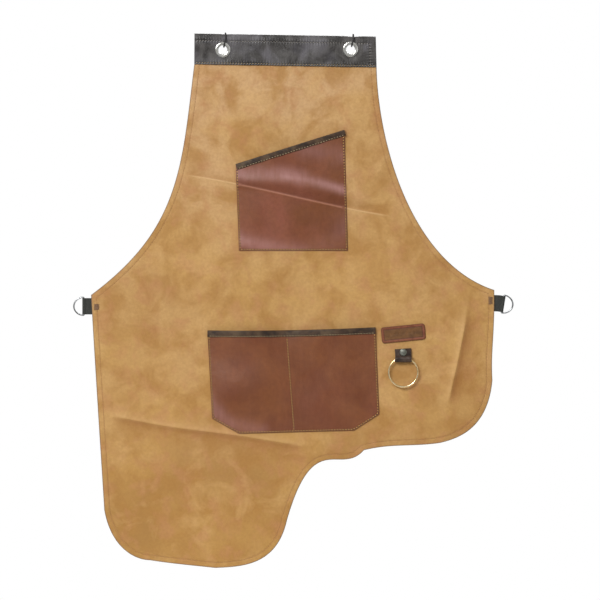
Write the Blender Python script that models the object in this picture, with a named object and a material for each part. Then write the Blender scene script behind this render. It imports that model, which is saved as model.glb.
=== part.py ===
"""Split-leather welding apron, hanging from two short cord loops tied through the eyelets of its bib.

All lengths are in metres. +X is to the right seen from the front, +Z is up and the front faces -Y.
The origin is halfway between the centres of the two eyelets, in the middle of the panel's thickness.
Each sewn-on piece keeps LAYER_GAP to what it is sewn to.
"""

import math

import bmesh
import bpy
from mathutils import Matrix, Vector
from mathutils.geometry import delaunay_2d_cdt

# ---- leather, webbing and the gaps between layers ----
PANEL_THICKNESS = 0.0016
POCKET_THICKNESS = 0.0014
BINDING_THICKNESS = 0.0009
BAND_THICKNESS = 0.0010
PATCH_THICKNESS = 0.0016
LAYER_GAP = 0.0003
BINDING_GAP = 0.00035

# ---- body panel: corners and curve handles, as (x, z), from the top left corner anticlockwise ----
BIB_TOP_LEFT = (-0.1383, 0.0229)
BIB_TOP_RIGHT = (0.1337, 0.0184)
BAND_BOTTOM_LEFT = (-0.1386, -0.0220)
BAND_BOTTOM_RIGHT = (0.1349, -0.0266)
LEFT_WAIST = (-0.2934, -0.3680)
RIGHT_WAIST = (0.3114, -0.3606)
LEFT_LOW = (-0.2736, -0.6910)
HEM_LEFT = (-0.2050, -0.7660)
HEM_MIDDLE = (-0.1070, -0.7775)
LOBE_TOP = (0.0005, -0.7060)
STEP_CORNER = (0.1160, -0.6010)
RIGHT_HEM = (0.2300, -0.5900)
RIGHT_LOW = (0.3087, -0.4960)
PANEL_SEGMENTS = (
    (BIB_TOP_LEFT, None, BAND_BOTTOM_LEFT, 3),
    (BAND_BOTTOM_LEFT, ((-0.1578, -0.1757), (-0.1592, -0.2683)), LEFT_WAIST, 18),
    (LEFT_WAIST, ((-0.2874, -0.4797), (-0.2784, -0.6150)), LEFT_LOW, 14),
    (LEFT_LOW, ((-0.2627, -0.7512), (-0.2242, -0.7662)), HEM_LEFT, 8),
    (HEM_LEFT, ((-0.1765, -0.7706), (-0.1429, -0.7737)), HEM_MIDDLE, 5),
    (HEM_MIDDLE, ((-0.0679, -0.7756), (-0.0149, -0.7752)), LOBE_TOP, 9),
    (LOBE_TOP, ((0.0406, -0.5649), (0.0802, -0.6418)), STEP_CORNER, 11),
    (STEP_CORNER, ((0.1583, -0.5906), (0.1892, -0.5960)), RIGHT_HEM, 6),
    (RIGHT_HEM, ((0.2589, -0.5832), (0.3021, -0.5681)), RIGHT_LOW, 8),
    (RIGHT_LOW, ((0.3060, -0.4497), (0.3124, -0.4313)), RIGHT_WAIST, 7),
    (RIGHT_WAIST, ((0.1847, -0.3190), (0.1371, -0.1356)), BAND_BOTTOM_RIGHT, 18),
    (BAND_BOTTOM_RIGHT, None, BIB_TOP_RIGHT, 3),
    (BIB_TOP_RIGHT, None, BIB_TOP_LEFT, 16),
)
PANEL_SPACING = 0.024

# ---- drape of the hanging leather ----
DRAPE_START = -0.070
DRAPE_RAMP = 0.380
WAVE_DEPTH = 0.0030
WAVE_LENGTH = 0.300
WAVE_CENTRE = -0.060
CURL_DEPTH = 0.0050
CURL_START = 0.150
CURL_RUN = 0.150
# x, z, radius that stays flat, radius where the full drape is reached
FLAT_SPOTS = (
    (-0.2934, -0.3850, 0.034, 0.150),
    (0.3114, -0.3810, 0.034, 0.150),
    (0.1750, -0.4500, 0.066, 0.190),
)

# ---- bib band and its eyelets ----
FOLD_RISE = 0.0013
INNER_FOLD_RISE = 0.0005
FOLD_STEPS = 6
EYELET_X = 0.0958
EYELET_RISE = 0.0004
EYELET_HOLE_RADIUS = 0.0074
BARREL_RADIUS = 0.0071
BARREL_BORE = 0.0066
FLANGE_RADIUS = 0.0115
HOLE_SIDES = 24

# ---- hanging cords ----
CORD_DIAMETER = 0.0024
KNOT_RADII = (0.0023, 0.0021, 0.0023)
KNOT_PLACE = (0.0033, 0.0063, 0.0142)
CORD_STEP = 0.0018
LEFT_EDGE_HEIGHT = 0.0226
RIGHT_EDGE_HEIGHT = 0.0196

# ---- chest pocket ----
CHEST_TOP_LEFT = (-0.0764, -0.1730)
CHEST_TOP_RIGHT = (0.0866, -0.1214)
CHEST_BOTTOM_RIGHT = (0.0917, -0.3015)
CHEST_BOTTOM_LEFT = (-0.0714, -0.3015)
CHEST_BULGE = 0.0065
CHEST_BINDING_DEPTH = 0.0075

# ---- lower pocket, in two compartments ----
LOWER_TOP_LEFT = (-0.1188, -0.4224)
LOWER_TOP_RIGHT = (0.1332, -0.4176)
LOWER_SIDE_RIGHT = (0.1389, -0.5470)
LOWER_FOOT_RIGHT = (0.1010, -0.5714)
LOWER_FOOT_LEFT = (-0.0716, -0.5759)
LOWER_SIDE_LEFT = (-0.1116, -0.5534)
LOWER_SAG = 0.0020
DIVIDER_TOP = (0.0000, -0.4270)
DIVIDER_FOOT = (0.0110, -0.5710)
LOWER_BULGE = 0.0060
LOWER_BINDING_DEPTH = 0.0085

POCKET_EDGE_STEP = 0.012
POCKET_SPACING = 0.013
MOUTH_ROOM_DEPTH = 0.045

# ---- leather patch ----
PATCH_CENTRE = (0.1749, -0.4257)
PATCH_SIZE = (0.066, 0.024)
PATCH_CORNER = 0.004
PATCH_TILT = math.radians(5.8)

# ---- side webbing and D-rings ----
WEBBING_WIDTH = 0.0246
WEBBING_HALF_THICKNESS = 0.0013
WEBBING_PLY = 0.0012
WEBBING_SEWN_LENGTH = 0.031
HINGE_CLEARANCE = 0.0020
SEWN_CLEARANCE = 0.0019
LOOP_CLEARANCE = 0.0018
RING_WIRE = 0.00115
BAR_PLAY = 0.00035
RING_HALF_HEIGHT = 0.01365
RING_DEPTH = 0.0153
RING_CORNER = 0.0023
WIRE_SIDES = 10
LEFT_STRAP_Z = -0.3850
LEFT_BAR_DISTANCE = 0.0086
LEFT_STRAP_TILT = 0.0
RIGHT_STRAP_Z = -0.3805
RIGHT_BAR_DISTANCE = 0.0107
RIGHT_STRAP_TILT = math.radians(9.0)

# ---- key tab, its rivet and the key ring ----
RIVET_X = 0.1748
RIVET_Z = -0.4539
RIVET_SHANK = 0.0020
RIVET_HOLE = 0.0024
RIVET_CAP = 0.0054
RIVET_CAP_HEIGHT = 0.0016
RIVET_BASE = 0.0048
TAB_HALF_WIDTH = 0.0123
TAB_PLY = 0.0012
TAB_TOP = -0.4486
KEY_RING_RADIUS = 0.0218
KEY_RING_WIRE = 0.0013
KEY_RING_CENTRE_Z = -0.4840
KEY_RING_PLAY = 0.00025


# ---------------------------------------------------------------- small helpers


def ease(t):
    """0 below 0, 1 above 1, smooth between."""
    t = min(max(t, 0.0), 1.0)
    return t * t * (3.0 - 2.0 * t)


def mix(a, b, t):
    return a + (b - a) * t


def line_at(start, end, value, along):
    """The other coordinate of the line start-end where coordinate number `along` has this value."""
    t = (value - start[along]) / (end[along] - start[along])
    return mix(start[1 - along], end[1 - along], t)


def bezier(start, handles, end, steps):
    """Points on a cubic curve, without its last one. With no handles it is a straight line."""
    a, d = Vector(start), Vector(end)
    if handles is None:
        return [a.lerp(d, i / steps) for i in range(steps)]
    b, c = Vector(handles[0]), Vector(handles[1])
    found = []
    for i in range(steps):
        t = i / steps
        s = 1.0 - t
        found.append(a * s**3 + b * 3 * s * s * t + c * 3 * s * t * t + d * t**3)
    return found


def straight_run(corners, step):
    """A closed outline through the corners, with points about one step apart."""
    found = []
    for start, end in zip(corners, corners[1:] + corners[:1]):
        count = max(1, round((Vector(end) - Vector(start)).length / step))
        found += bezier(start, None, end, count)
    return found


def circle(centre, radius, sides):
    cx, cz = centre
    turns = [2.0 * math.pi * i / sides for i in range(sides)]
    return [Vector((cx + radius * math.cos(a), cz + radius * math.sin(a))) for a in turns]


def inside(point, loop):
    found = False
    for a, b in zip(loop, loop[1:] + loop[:1]):
        if (a.y > point.y) != (b.y > point.y):
            if point.x < a.x + (point.y - a.y) * (b.x - a.x) / (b.y - a.y):
                found = not found
    return found


def distance_to(point, loop):
    best = math.inf
    for a, b in zip(loop, loop[1:] + loop[:1]):
        side = b - a
        t = min(max((point - a).dot(side) / side.length_squared, 0.0), 1.0)
        best = min(best, (point - (a + side * t)).length)
    return best


def grid_inside(outline, holes, spacing):
    """Points of a triangular grid that lie well inside the outline and well outside the holes."""
    low_x, high_x = min(p.x for p in outline), max(p.x for p in outline)
    low_y, high_y = min(p.y for p in outline), max(p.y for p in outline)
    row_height = spacing * math.sqrt(0.75)
    margin = 0.6 * spacing
    found = []
    for row in range(1 + int((high_y - low_y) / row_height)):
        y = low_y + row * row_height
        shift = 0.5 * spacing * (row % 2)
        for column in range(1 + int((high_x - low_x) / spacing)):
            point = Vector((low_x + shift + column * spacing, y))
            if not inside(point, outline) or distance_to(point, outline) < margin:
                continue
            if all(not inside(point, h) and distance_to(point, h) > margin for h in holes):
                found.append(point)
    return found


def triangulate(outline, holes, spacing=None):
    """Points and triangles of a flat region, with the outline's points first and then each hole's."""
    loops = [outline] + holes
    points, edges = [], []
    for loop in loops:
        first = len(points)
        points += loop
        edges += [(first + i, first + (i + 1) % len(loop)) for i in range(len(loop))]
    if spacing:
        points += grid_inside(outline, holes, spacing)
    result = delaunay_2d_cdt(points, edges, [], 1, 1e-9)
    kept = []
    for face in result[2]:
        middle = sum((result[0][i] for i in face), Vector((0.0, 0.0))) / len(face)
        if not any(inside(middle, hole) for hole in holes):
            kept.append([result[3][i][0] for i in face])
    return points, kept, [len(loop) for loop in loops]


def finish_mesh(name, shape, material, origin=(0.0, 0.0, 0.0), smooth_angle=30.0):
    """Turns the faces outward, moves the origin and makes the object."""
    bmesh.ops.recalc_face_normals(shape, faces=shape.faces)
    if shape.calc_volume(signed=True) < 0.0:
        bmesh.ops.reverse_faces(shape, faces=shape.faces)
    bmesh.ops.translate(shape, vec=-Vector(origin), verts=shape.verts)
    mesh = bpy.data.meshes.new(name)
    shape.to_mesh(mesh)
    shape.free()
    mesh.shade_smooth()
    mesh.set_sharp_from_angle(angle=math.radians(smooth_angle))
    mesh.materials.append(material)
    piece = bpy.data.objects.new(name, mesh)
    piece.location = origin
    bpy.context.scene.collection.objects.link(piece)
    return piece


def slab(name, material, outline, holes, near, far, spacing=None, origin=(0.0, 0.0, 0.0)):
    """A closed solid between two copies of a flat region. near and far place a point of it in space."""
    points, faces, counts = triangulate(outline, holes, spacing)
    shape = bmesh.new()
    near_side = [shape.verts.new(near(p)) for p in points]
    far_side = [shape.verts.new(far(p)) for p in points]
    for face in faces:
        shape.faces.new([near_side[i] for i in face])
        shape.faces.new([far_side[i] for i in reversed(face)])
    first = 0
    for count in counts:
        for i in range(count):
            a, b = first + i, first + (i + 1) % count
            shape.faces.new((near_side[a], far_side[a], far_side[b], near_side[b]))
        first += count
    return finish_mesh(name, shape, material, origin)


def turned(name, material, profile, centre, sides):
    """A solid turned about an axis along Y through centre, from a closed profile of (radius, y)."""
    shape = bmesh.new()
    rings = []
    for radius, y in profile:
        if radius == 0.0:
            rings.append([shape.verts.new((centre[0], y, centre[2]))] * sides)
            continue
        ring = []
        for i in range(sides):
            angle = 2.0 * math.pi * i / sides
            x = centre[0] + radius * math.cos(angle)
            z = centre[2] + radius * math.sin(angle)
            ring.append(shape.verts.new((x, y, z)))
        rings.append(ring)
    for near, far in zip(rings, rings[1:] + rings[:1]):
        if near[0] is near[1] and far[0] is far[1]:
            continue
        for i in range(sides):
            j = (i + 1) % sides
            corners = list(dict.fromkeys((near[i], near[j], far[j], far[i])))
            shape.faces.new(corners)
    return finish_mesh(name, shape, material)


def wire_loop(name, material, path, normal, radius, sides, origin):
    """A closed loop of round wire along a flat path whose plane has this normal."""
    shape = bmesh.new()
    rings = []
    count = len(path)
    for i, point in enumerate(path):
        along = (path[(i + 1) % count] - path[i - 1]).normalized()
        across = along.cross(normal).normalized()
        ring = []
        for k in range(sides):
            angle = 2.0 * math.pi * (k + 0.5) / sides
            offset = across * math.cos(angle) + normal * math.sin(angle)
            ring.append(shape.verts.new(point + offset * radius))
        rings.append(ring)
    for near, far in zip(rings, rings[1:] + rings[:1]):
        for k in range(sides):
            j = (k + 1) % sides
            shape.faces.new((near[k], near[j], far[j], far[k]))
    return finish_mesh(name, shape, material, origin)


def smooth_route(points, step):
    """Points about one step apart on a smooth curve through the given ones."""
    ends = [points[0] * 2.0 - points[1]] + points + [points[-1] * 2.0 - points[-2]]
    dense = []
    for a, b, c, d in zip(ends, ends[1:], ends[2:], ends[3:]):
        for i in range(20):
            t = i / 20.0
            pull = (c - a) * t + (a * 2.0 - b * 5.0 + c * 4.0 - d) * t**2
            dense.append(b + (pull + (b * 3.0 - a - c * 3.0 + d) * t**3) * 0.5)
    dense.append(points[-1])
    lengths = [0.0]
    for a, b in zip(dense, dense[1:]):
        lengths.append(lengths[-1] + (b - a).length)
    count = max(2, round(lengths[-1] / step))
    found, at = [], 0
    for i in range(count + 1):
        wanted = lengths[-1] * i / count
        while at < len(dense) - 2 and lengths[at + 1] < wanted:
            at += 1
        span = lengths[at + 1] - lengths[at]
        found.append(dense[at].lerp(dense[at + 1], (wanted - lengths[at]) / span))
    return found


# ---------------------------------------------------------------- materials


def finish(name, colour, roughness, metallic=0.0):
    material = bpy.data.materials.new(name)
    material.use_nodes = True
    shader = material.node_tree.nodes["Principled BSDF"]
    shader.inputs["Base Color"].default_value = (*colour, 1.0)
    shader.inputs["Roughness"].default_value = roughness
    shader.inputs["Metallic"].default_value = metallic
    return material


def make_materials():
    return {
        "suede": finish("tan_split_leather", (0.55, 0.31, 0.12), 0.85),
        "band": finish("dark_band_leather", (0.060, 0.052, 0.055), 0.42),
        "pocket": finish("oiled_brown_leather", (0.25, 0.085, 0.045), 0.38),
        "binding": finish("dark_binding_leather", (0.070, 0.045, 0.030), 0.50),
        "patch": finish("patch_leather", (0.20, 0.080, 0.030), 0.45),
        "tab": finish("tab_leather", (0.045, 0.026, 0.020), 0.45),
        "nickel": finish("polished_nickel", (0.72, 0.70, 0.67), 0.18, 1.0),
        "gunmetal": finish("gunmetal", (0.20, 0.20, 0.17), 0.35, 1.0),
        "webbing": finish("black_webbing", (0.042, 0.045, 0.042), 0.80),
        "cord": finish("black_waxed_cord", (0.020, 0.019, 0.019), 0.50),
    }


# ---------------------------------------------------------------- the panel's surface


def drape(x, z):
    """How far the middle of the panel lies behind the flat plane y = 0."""
    fall = ease((DRAPE_START - z) / DRAPE_RAMP)
    wave = -WAVE_DEPTH * math.cos(2.0 * math.pi * (x - WAVE_CENTRE) / WAVE_LENGTH)
    curl = CURL_DEPTH * ease((abs(x) - CURL_START) / CURL_RUN)
    y = fall * (wave + curl)
    for spot_x, spot_z, flat, full in FLAT_SPOTS:
        away = math.hypot(x - spot_x, z - spot_z)
        y *= ease((away - flat) / (full - flat))
    return y


def on_panel(offset):
    """Places a point of the pattern at this distance behind the panel's middle; negative is in front."""
    return lambda p: Vector((p.x, drape(p.x, p.y) + offset, p.y))


def panel_outline():
    found = []
    for start, handles, end, steps in PANEL_SEGMENTS:
        found += bezier(start, handles, end, steps)
    return found


def eyelet_centre(side):
    """side is -1 for the left eyelet and 1 for the right one."""
    return Vector((side * EYELET_X, 0.0, side * EYELET_RISE))


def eyelet_holes():
    centres = [eyelet_centre(side) for side in (-1, 1)]
    return [circle((c.x, c.z), EYELET_HOLE_RADIUS, HOLE_SIDES) for c in centres]


def body_panel(material):
    holes = eyelet_holes() + [circle((RIVET_X, RIVET_Z), RIVET_HOLE, 16)]
    half = PANEL_THICKNESS / 2.0
    slab(
        "body_panel",
        material,
        panel_outline(),
        holes,
        on_panel(-half),
        on_panel(half),
        PANEL_SPACING,
    )


# ---------------------------------------------------------------- bib band


def band_levels():
    """y of the front leg's outer and inner faces; the back leg's are the same with the other sign."""
    inner = PANEL_THICKNESS / 2.0 + BINDING_GAP
    return -(inner + BAND_THICKNESS), -inner


def bib_band(material):
    """A strip folded over the panel's top edge, in one piece, with a hole for each eyelet in both legs."""
    top = bezier(BIB_TOP_RIGHT, None, BIB_TOP_LEFT, 16) + [Vector(BIB_TOP_LEFT)]
    bottom = bezier(BAND_BOTTOM_LEFT, None, BAND_BOTTOM_RIGHT, 16) + [Vector(BAND_BOTTOM_RIGHT)]
    outline = top + bottom
    points, faces, counts = triangulate(outline, eyelet_holes(), 0.022)
    front_outer, front_inner = band_levels()
    levels = (front_outer, front_inner, -front_inner, -front_outer)
    shape = bmesh.new()
    sides = [[shape.verts.new((p.x, y, p.y)) for p in points] for y in levels]
    for level, side in enumerate(sides):
        for face in faces:
            ordered = face if level % 2 == 0 else list(reversed(face))
            shape.faces.new([side[i] for i in ordered])
    fold_count = len(top) - 1
    first = 0
    for loop, count in enumerate(counts):
        for i in range(count):
            if loop == 0 and i < fold_count:
                continue
            a, b = first + i, first + (i + 1) % count
            for near, far in ((0, 1), (2, 3)):
                shape.faces.new((sides[near][a], sides[far][a], sides[far][b], sides[near][b]))
        first += count
    outer = fold_rows(shape, sides[0], sides[3], len(top), FOLD_RISE)
    inner = fold_rows(shape, sides[1], sides[2], len(top), INNER_FOLD_RISE)
    for near, far in zip(outer, outer[1:]):
        join_rows(shape, near, far)
    for near, far in zip(inner, inner[1:]):
        join_rows(shape, far, near)
    for end in (0, len(top) - 1):
        for k in range(FOLD_STEPS):
            corners = (outer[k][end], outer[k + 1][end], inner[k + 1][end], inner[k][end])
            shape.faces.new(corners)
    finish_mesh("bib_band", shape, material)


def fold_rows(shape, front, back, count, rise):
    """Rows of points from the front leg's top edge over to the back leg's."""
    rows = [front[:count]]
    for k in range(1, FOLD_STEPS):
        angle = math.pi * k / FOLD_STEPS
        row = []
        for i in range(count):
            y = front[i].co.y * math.cos(angle)
            z = front[i].co.z + rise * math.sin(angle)
            row.append(shape.verts.new((front[i].co.x, y, z)))
        rows.append(row)
    rows.append(back[:count])
    return rows


def join_rows(shape, near, far):
    for i in range(len(near) - 1):
        shape.faces.new((near[i], near[i + 1], far[i + 1], far[i]))


# ---------------------------------------------------------------- eyelets and hanging cords


def eyelet(side, label, nickel):
    centre = eyelet_centre(side)
    seat = band_levels()[0] - LAYER_GAP
    face = seat - 0.00135
    back = -seat
    barrel = [
        (BARREL_RADIUS, seat),
        (FLANGE_RADIUS - 0.0003, seat),
        (FLANGE_RADIUS, seat - 0.0004),
        (FLANGE_RADIUS - 0.0002, seat - 0.0009),
        (FLANGE_RADIUS - 0.0009, face + 0.0001),
        (FLANGE_RADIUS - 0.0013, face),
        (0.0084, face),
        (0.0074, face + 0.0002),
        (0.0068, face + 0.0007),
        (BARREL_BORE, face + 0.0014),
        (BARREL_BORE, back + 0.0006),
        (0.0069, back + 0.0015),
        (0.0077, back + 0.0019),
        (0.0086, back + 0.0017),
        (0.0090, back + 0.0013),
        (0.0086, back + 0.0011),
        (BARREL_RADIUS, back + 0.0011),
    ]
    turned(f"{label}_eyelet", nickel, barrel, centre, 32)
    washer = [
        (EYELET_HOLE_RADIUS, back),
        (0.0110, back),
        (0.0112, back + 0.0004),
        (0.0108, back + 0.0008),
        (EYELET_HOLE_RADIUS, back + 0.0008),
    ]
    turned(f"{label}_eyelet_washer", nickel, washer, centre, 32)


def cord_points(side):
    """The cord's route through one eyelet and over the bib's top edge, from the knot back to the knot."""
    edge = LEFT_EDGE_HEIGHT if side < 0 else RIGHT_EDGE_HEIGHT
    route = [
        (0.0028, 0.0064, 0.0116),
        (0.0024, 0.0063, 0.0093),
        (0.0020, 0.0053, 0.0060),
        (0.0017, 0.0022, 0.0046),
        (0.0016, -0.0014, 0.0046),
        (0.0018, -0.0049, 0.0059),
        (0.0026, -0.0060, 0.0094),
        (0.0036, -0.0059, 0.0125),
        (0.0042, -0.0053, edge - 0.0050),
        (0.0043, -0.0047, edge - 0.0022),
        (0.0042, -0.0033, edge + 0.0012),
        (0.0041, 0.0000, edge + 0.0026),
        (0.0040, 0.0034, edge + 0.0010),
        (0.0037, 0.0050, edge - 0.0013),
    ]
    if side < 0:
        route.append((0.0035, 0.0059, edge - 0.0045))
    route.append((0.0034, 0.0062, 0.0168))
    centre = eyelet_centre(side)
    return [centre + Vector(point) for point in route]


def hanging_cord(side, label, material):
    curve = bpy.data.curves.new(f"{label}_hanging_cord", "CURVE")
    curve.dimensions = "3D"
    curve.bevel_depth = CORD_DIAMETER / 2.0
    curve.bevel_resolution = 2
    curve.use_fill_caps = True
    points = smooth_route(cord_points(side), CORD_STEP)
    spline = curve.splines.new("POLY")
    spline.points.add(len(points) - 1)
    for slot, point in zip(spline.points, points):
        slot.co = (*point, 1.0)
    curve.materials.append(material)
    cord = bpy.data.objects.new(f"{label}_hanging_cord", curve)
    bpy.context.scene.collection.objects.link(cord)

    shape = bmesh.new()
    bmesh.ops.create_icosphere(shape, subdivisions=2, radius=1.0)
    bmesh.ops.scale(shape, vec=KNOT_RADII, verts=shape.verts)
    place = eyelet_centre(side) + Vector(KNOT_PLACE)
    bmesh.ops.translate(shape, vec=place, verts=shape.verts)
    finish_mesh(f"{label}_cord_knot", shape, material, smooth_angle=60.0)


# ---------------------------------------------------------------- pockets


def bulge_shape(across, down):
    """1 in the middle of the mouth, 0 along the sewn sides and the foot. Both run from 0 to 1."""
    across = min(max(across, 0.0), 1.0)
    down = min(max(down, 0.0), 1.0)
    return (4.0 * across * (1.0 - across)) ** 2 * (1.0 - down * down)


def seat_offset(depth):
    """How far a pocket's middle lies in front of the panel's. The mouth leaves room for the binding."""
    sewn = (PANEL_THICKNESS + POCKET_THICKNESS) / 2.0 + LAYER_GAP
    room = BINDING_THICKNESS + BINDING_GAP + LAYER_GAP
    return sewn + room * (1.0 - ease(depth / MOUTH_ROOM_DEPTH))


def chest_top(x):
    return line_at(CHEST_TOP_LEFT, CHEST_TOP_RIGHT, x, 0)


def chest_offset(x, z):
    top = chest_top(x)
    left = line_at(CHEST_TOP_LEFT, CHEST_BOTTOM_LEFT, z, 1)
    right = line_at(CHEST_TOP_RIGHT, CHEST_BOTTOM_RIGHT, z, 1)
    across = (x - left) / (right - left)
    down = (top - z) / (top - CHEST_BOTTOM_LEFT[1])
    return seat_offset(top - z) + CHEST_BULGE * bulge_shape(across, down)


def lower_top(x):
    middle = (LOWER_TOP_LEFT[0] + LOWER_TOP_RIGHT[0]) / 2.0
    half = (LOWER_TOP_RIGHT[0] - LOWER_TOP_LEFT[0]) / 2.0
    sag = LOWER_SAG * max(0.0, 1.0 - ((x - middle) / half) ** 2)
    return line_at(LOWER_TOP_LEFT, LOWER_TOP_RIGHT, x, 0) - sag


def lower_foot(x):
    if x < LOWER_FOOT_LEFT[0]:
        return line_at(LOWER_SIDE_LEFT, LOWER_FOOT_LEFT, x, 0)
    if x > LOWER_FOOT_RIGHT[0]:
        return line_at(LOWER_FOOT_RIGHT, LOWER_SIDE_RIGHT, x, 0)
    return line_at(LOWER_FOOT_LEFT, LOWER_FOOT_RIGHT, x, 0)


def lower_offset(x, z):
    top = lower_top(x)
    left = line_at(LOWER_TOP_LEFT, LOWER_SIDE_LEFT, z, 1)
    right = line_at(LOWER_TOP_RIGHT, LOWER_SIDE_RIGHT, z, 1)
    divider = line_at(DIVIDER_TOP, DIVIDER_FOOT, z, 1)
    low, high = (left, divider) if x < divider else (divider, right)
    across = (x - low) / (high - low)
    down = (top - z) / (top - lower_foot(x))
    return seat_offset(top - z) + LOWER_BULGE * bulge_shape(across, down)


def pocket(name, material, outline, offset):
    half = POCKET_THICKNESS / 2.0

    def face(extra):
        return lambda p: Vector((p.x, drape(p.x, p.y) - offset(p.x, p.y) + extra, p.y))

    slab(name, material, outline, [], face(-half), face(half), POCKET_SPACING)


def pocket_binding(name, material, mouth, depth, offset):
    """A strip folded over a pocket's mouth, along the mouth's own points."""
    inner = POCKET_THICKNESS / 2.0 + BINDING_GAP
    outer = inner + BINDING_THICKNESS
    rise = BINDING_GAP + BINDING_THICKNESS
    back_depth = depth - 0.0015
    section = (
        ((-depth, -outer), (-depth, -inner)),
        ((0.0, -outer), (0.0, -inner)),
        ((rise * 0.8, -outer * 0.6), (BINDING_GAP, -inner * 0.5)),
        ((rise, 0.0), (BINDING_GAP, 0.0)),
        ((rise * 0.8, outer * 0.6), (BINDING_GAP, inner * 0.5)),
        ((0.0, outer), (0.0, inner)),
        ((-back_depth, outer), (-back_depth, inner)),
    )
    shape = bmesh.new()
    stations = []
    for i, point in enumerate(mouth):
        along = (mouth[min(i + 1, len(mouth) - 1)] - mouth[max(i - 1, 0)]).normalized()
        up = Vector((-along.y, along.x))
        pairs = []
        for corners in section:
            pair = []
            for height, level in corners:
                at = point + up * height
                seat = point + up * min(height, 0.0)
                y = drape(seat.x, seat.y) - offset(seat.x, seat.y) + level
                pair.append(shape.verts.new((at.x, y, at.y)))
            pairs.append(pair)
        stations.append(pairs)
    for near, far in zip(stations, stations[1:]):
        for k in range(len(section) - 1):
            for skin in (0, 1):
                corners = (near[k][skin], near[k + 1][skin], far[k + 1][skin], far[k][skin])
                shape.faces.new(corners)
        for k in (0, len(section) - 1):
            shape.faces.new((near[k][0], near[k][1], far[k][1], far[k][0]))
    for pairs in (stations[0], stations[-1]):
        for k in range(len(section) - 1):
            shape.faces.new((pairs[k][0], pairs[k + 1][0], pairs[k + 1][1], pairs[k][1]))
    finish_mesh(name, shape, material)


def chest_pocket(leather, binding):
    corners = [CHEST_TOP_LEFT, CHEST_BOTTOM_LEFT, CHEST_BOTTOM_RIGHT, CHEST_TOP_RIGHT]
    outline = straight_run(corners, POCKET_EDGE_STEP)
    pocket("chest_pocket", leather, outline, chest_offset)
    start = outline.index(Vector(CHEST_TOP_RIGHT))
    mouth = list(reversed(outline[start:] + [Vector(CHEST_TOP_LEFT)]))
    pocket_binding("chest_pocket_binding", binding, mouth, CHEST_BINDING_DEPTH, chest_offset)


def lower_pocket(leather, binding):
    count = round((LOWER_TOP_RIGHT[0] - LOWER_TOP_LEFT[0]) / POCKET_EDGE_STEP)
    mouth = []
    for i in range(count + 1):
        x = mix(LOWER_TOP_LEFT[0], LOWER_TOP_RIGHT[0], i / count)
        mouth.append(Vector((x, lower_top(x))))
    corners = [LOWER_TOP_LEFT, LOWER_SIDE_LEFT, LOWER_FOOT_LEFT]
    corners += [LOWER_FOOT_RIGHT, LOWER_SIDE_RIGHT, LOWER_TOP_RIGHT]
    outline = []
    for start, end in zip(corners, corners[1:]):
        steps = max(1, round((Vector(end) - Vector(start)).length / POCKET_EDGE_STEP))
        outline += bezier(start, None, end, steps)
    outline += list(reversed(mouth))[:-1]
    pocket("lower_pocket", leather, outline, lower_offset)
    pocket_binding("lower_pocket_binding", binding, mouth, LOWER_BINDING_DEPTH, lower_offset)


# ---------------------------------------------------------------- leather patch


def rounded_rectangle(centre, size, corner, tilt, arc_steps=4):
    turn = Matrix.Rotation(tilt, 2)
    half_width, half_height = size[0] / 2.0 - corner, size[1] / 2.0 - corner
    found = []
    for quarter, (sx, sz) in enumerate(((1, 1), (-1, 1), (-1, -1), (1, -1))):
        for i in range(arc_steps + 1):
            angle = math.pi / 2.0 * (quarter + i / arc_steps)
            x = sx * half_width + corner * math.cos(angle)
            z = sz * half_height + corner * math.sin(angle)
            found.append(Vector(centre) + turn @ Vector((x, z)))
    return found


def name_patch(material):
    outline = rounded_rectangle(PATCH_CENTRE, PATCH_SIZE, PATCH_CORNER, PATCH_TILT)
    seat = -(PANEL_THICKNESS / 2.0 + LAYER_GAP)
    slab("name_patch", material, outline, [], on_panel(seat - PATCH_THICKNESS), on_panel(seat))


# ---------------------------------------------------------------- webbing and D-rings


def webbing_middle():
    """y of the webbing's middle: it is sewn behind the panel."""
    return PANEL_THICKNESS / 2.0 + LAYER_GAP + WEBBING_HALF_THICKNESS


def webbing_end(side, label, edge_x, middle_z, material):
    """The part of the webbing that is sewn flat behind the panel, up to the panel's edge."""
    outer_x = edge_x + side * (HINGE_CLEARANCE - SEWN_CLEARANCE)
    centre = (outer_x - side * WEBBING_SEWN_LENGTH / 2.0, middle_z)
    size = (WEBBING_SEWN_LENGTH, WEBBING_WIDTH)
    outline = rounded_rectangle(centre, size, 0.0010, 0.0, 2)
    front = webbing_middle() - WEBBING_HALF_THICKNESS
    back = webbing_middle() + WEBBING_HALF_THICKNESS
    slab(
        f"{label}_webbing_end",
        material,
        outline,
        [],
        lambda p: Vector((p.x, front, p.y)),
        lambda p: Vector((p.x, back, p.y)),
    )


def loop_profile(bar_distance):
    """The webbing loop in plan: distance outward from the hinge, and y from the webbing's middle."""
    bore = RING_WIRE + BAR_PLAY
    outer = bore + WEBBING_PLY
    half = WEBBING_HALF_THICKNESS
    found = [Vector((LOOP_CLEARANCE, half)), Vector((LOOP_CLEARANCE, -half))]
    for i in range(13):
        angle = math.radians(-125.0 + 250.0 * i / 12)
        found.append(Vector((bar_distance + outer * math.cos(angle), outer * math.sin(angle))))
    return found, circle((bar_distance, 0.0), bore, 14)


def strap_line(distance, bar_distance, tilt):
    """The webbing's centre line at this distance from the hinge: how far out and down it is, and its angle.

    It bends evenly in its own plane up to the fold and is straight round the bar.
    """
    fold = bar_distance - RING_WIRE - BAR_PLAY - WEBBING_PLY
    bent = min(distance, fold)
    angle = tilt * bent / fold
    past = distance - bent
    return bent + past * math.cos(tilt), bent * angle / 2.0 + past * math.sin(tilt), angle


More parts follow.
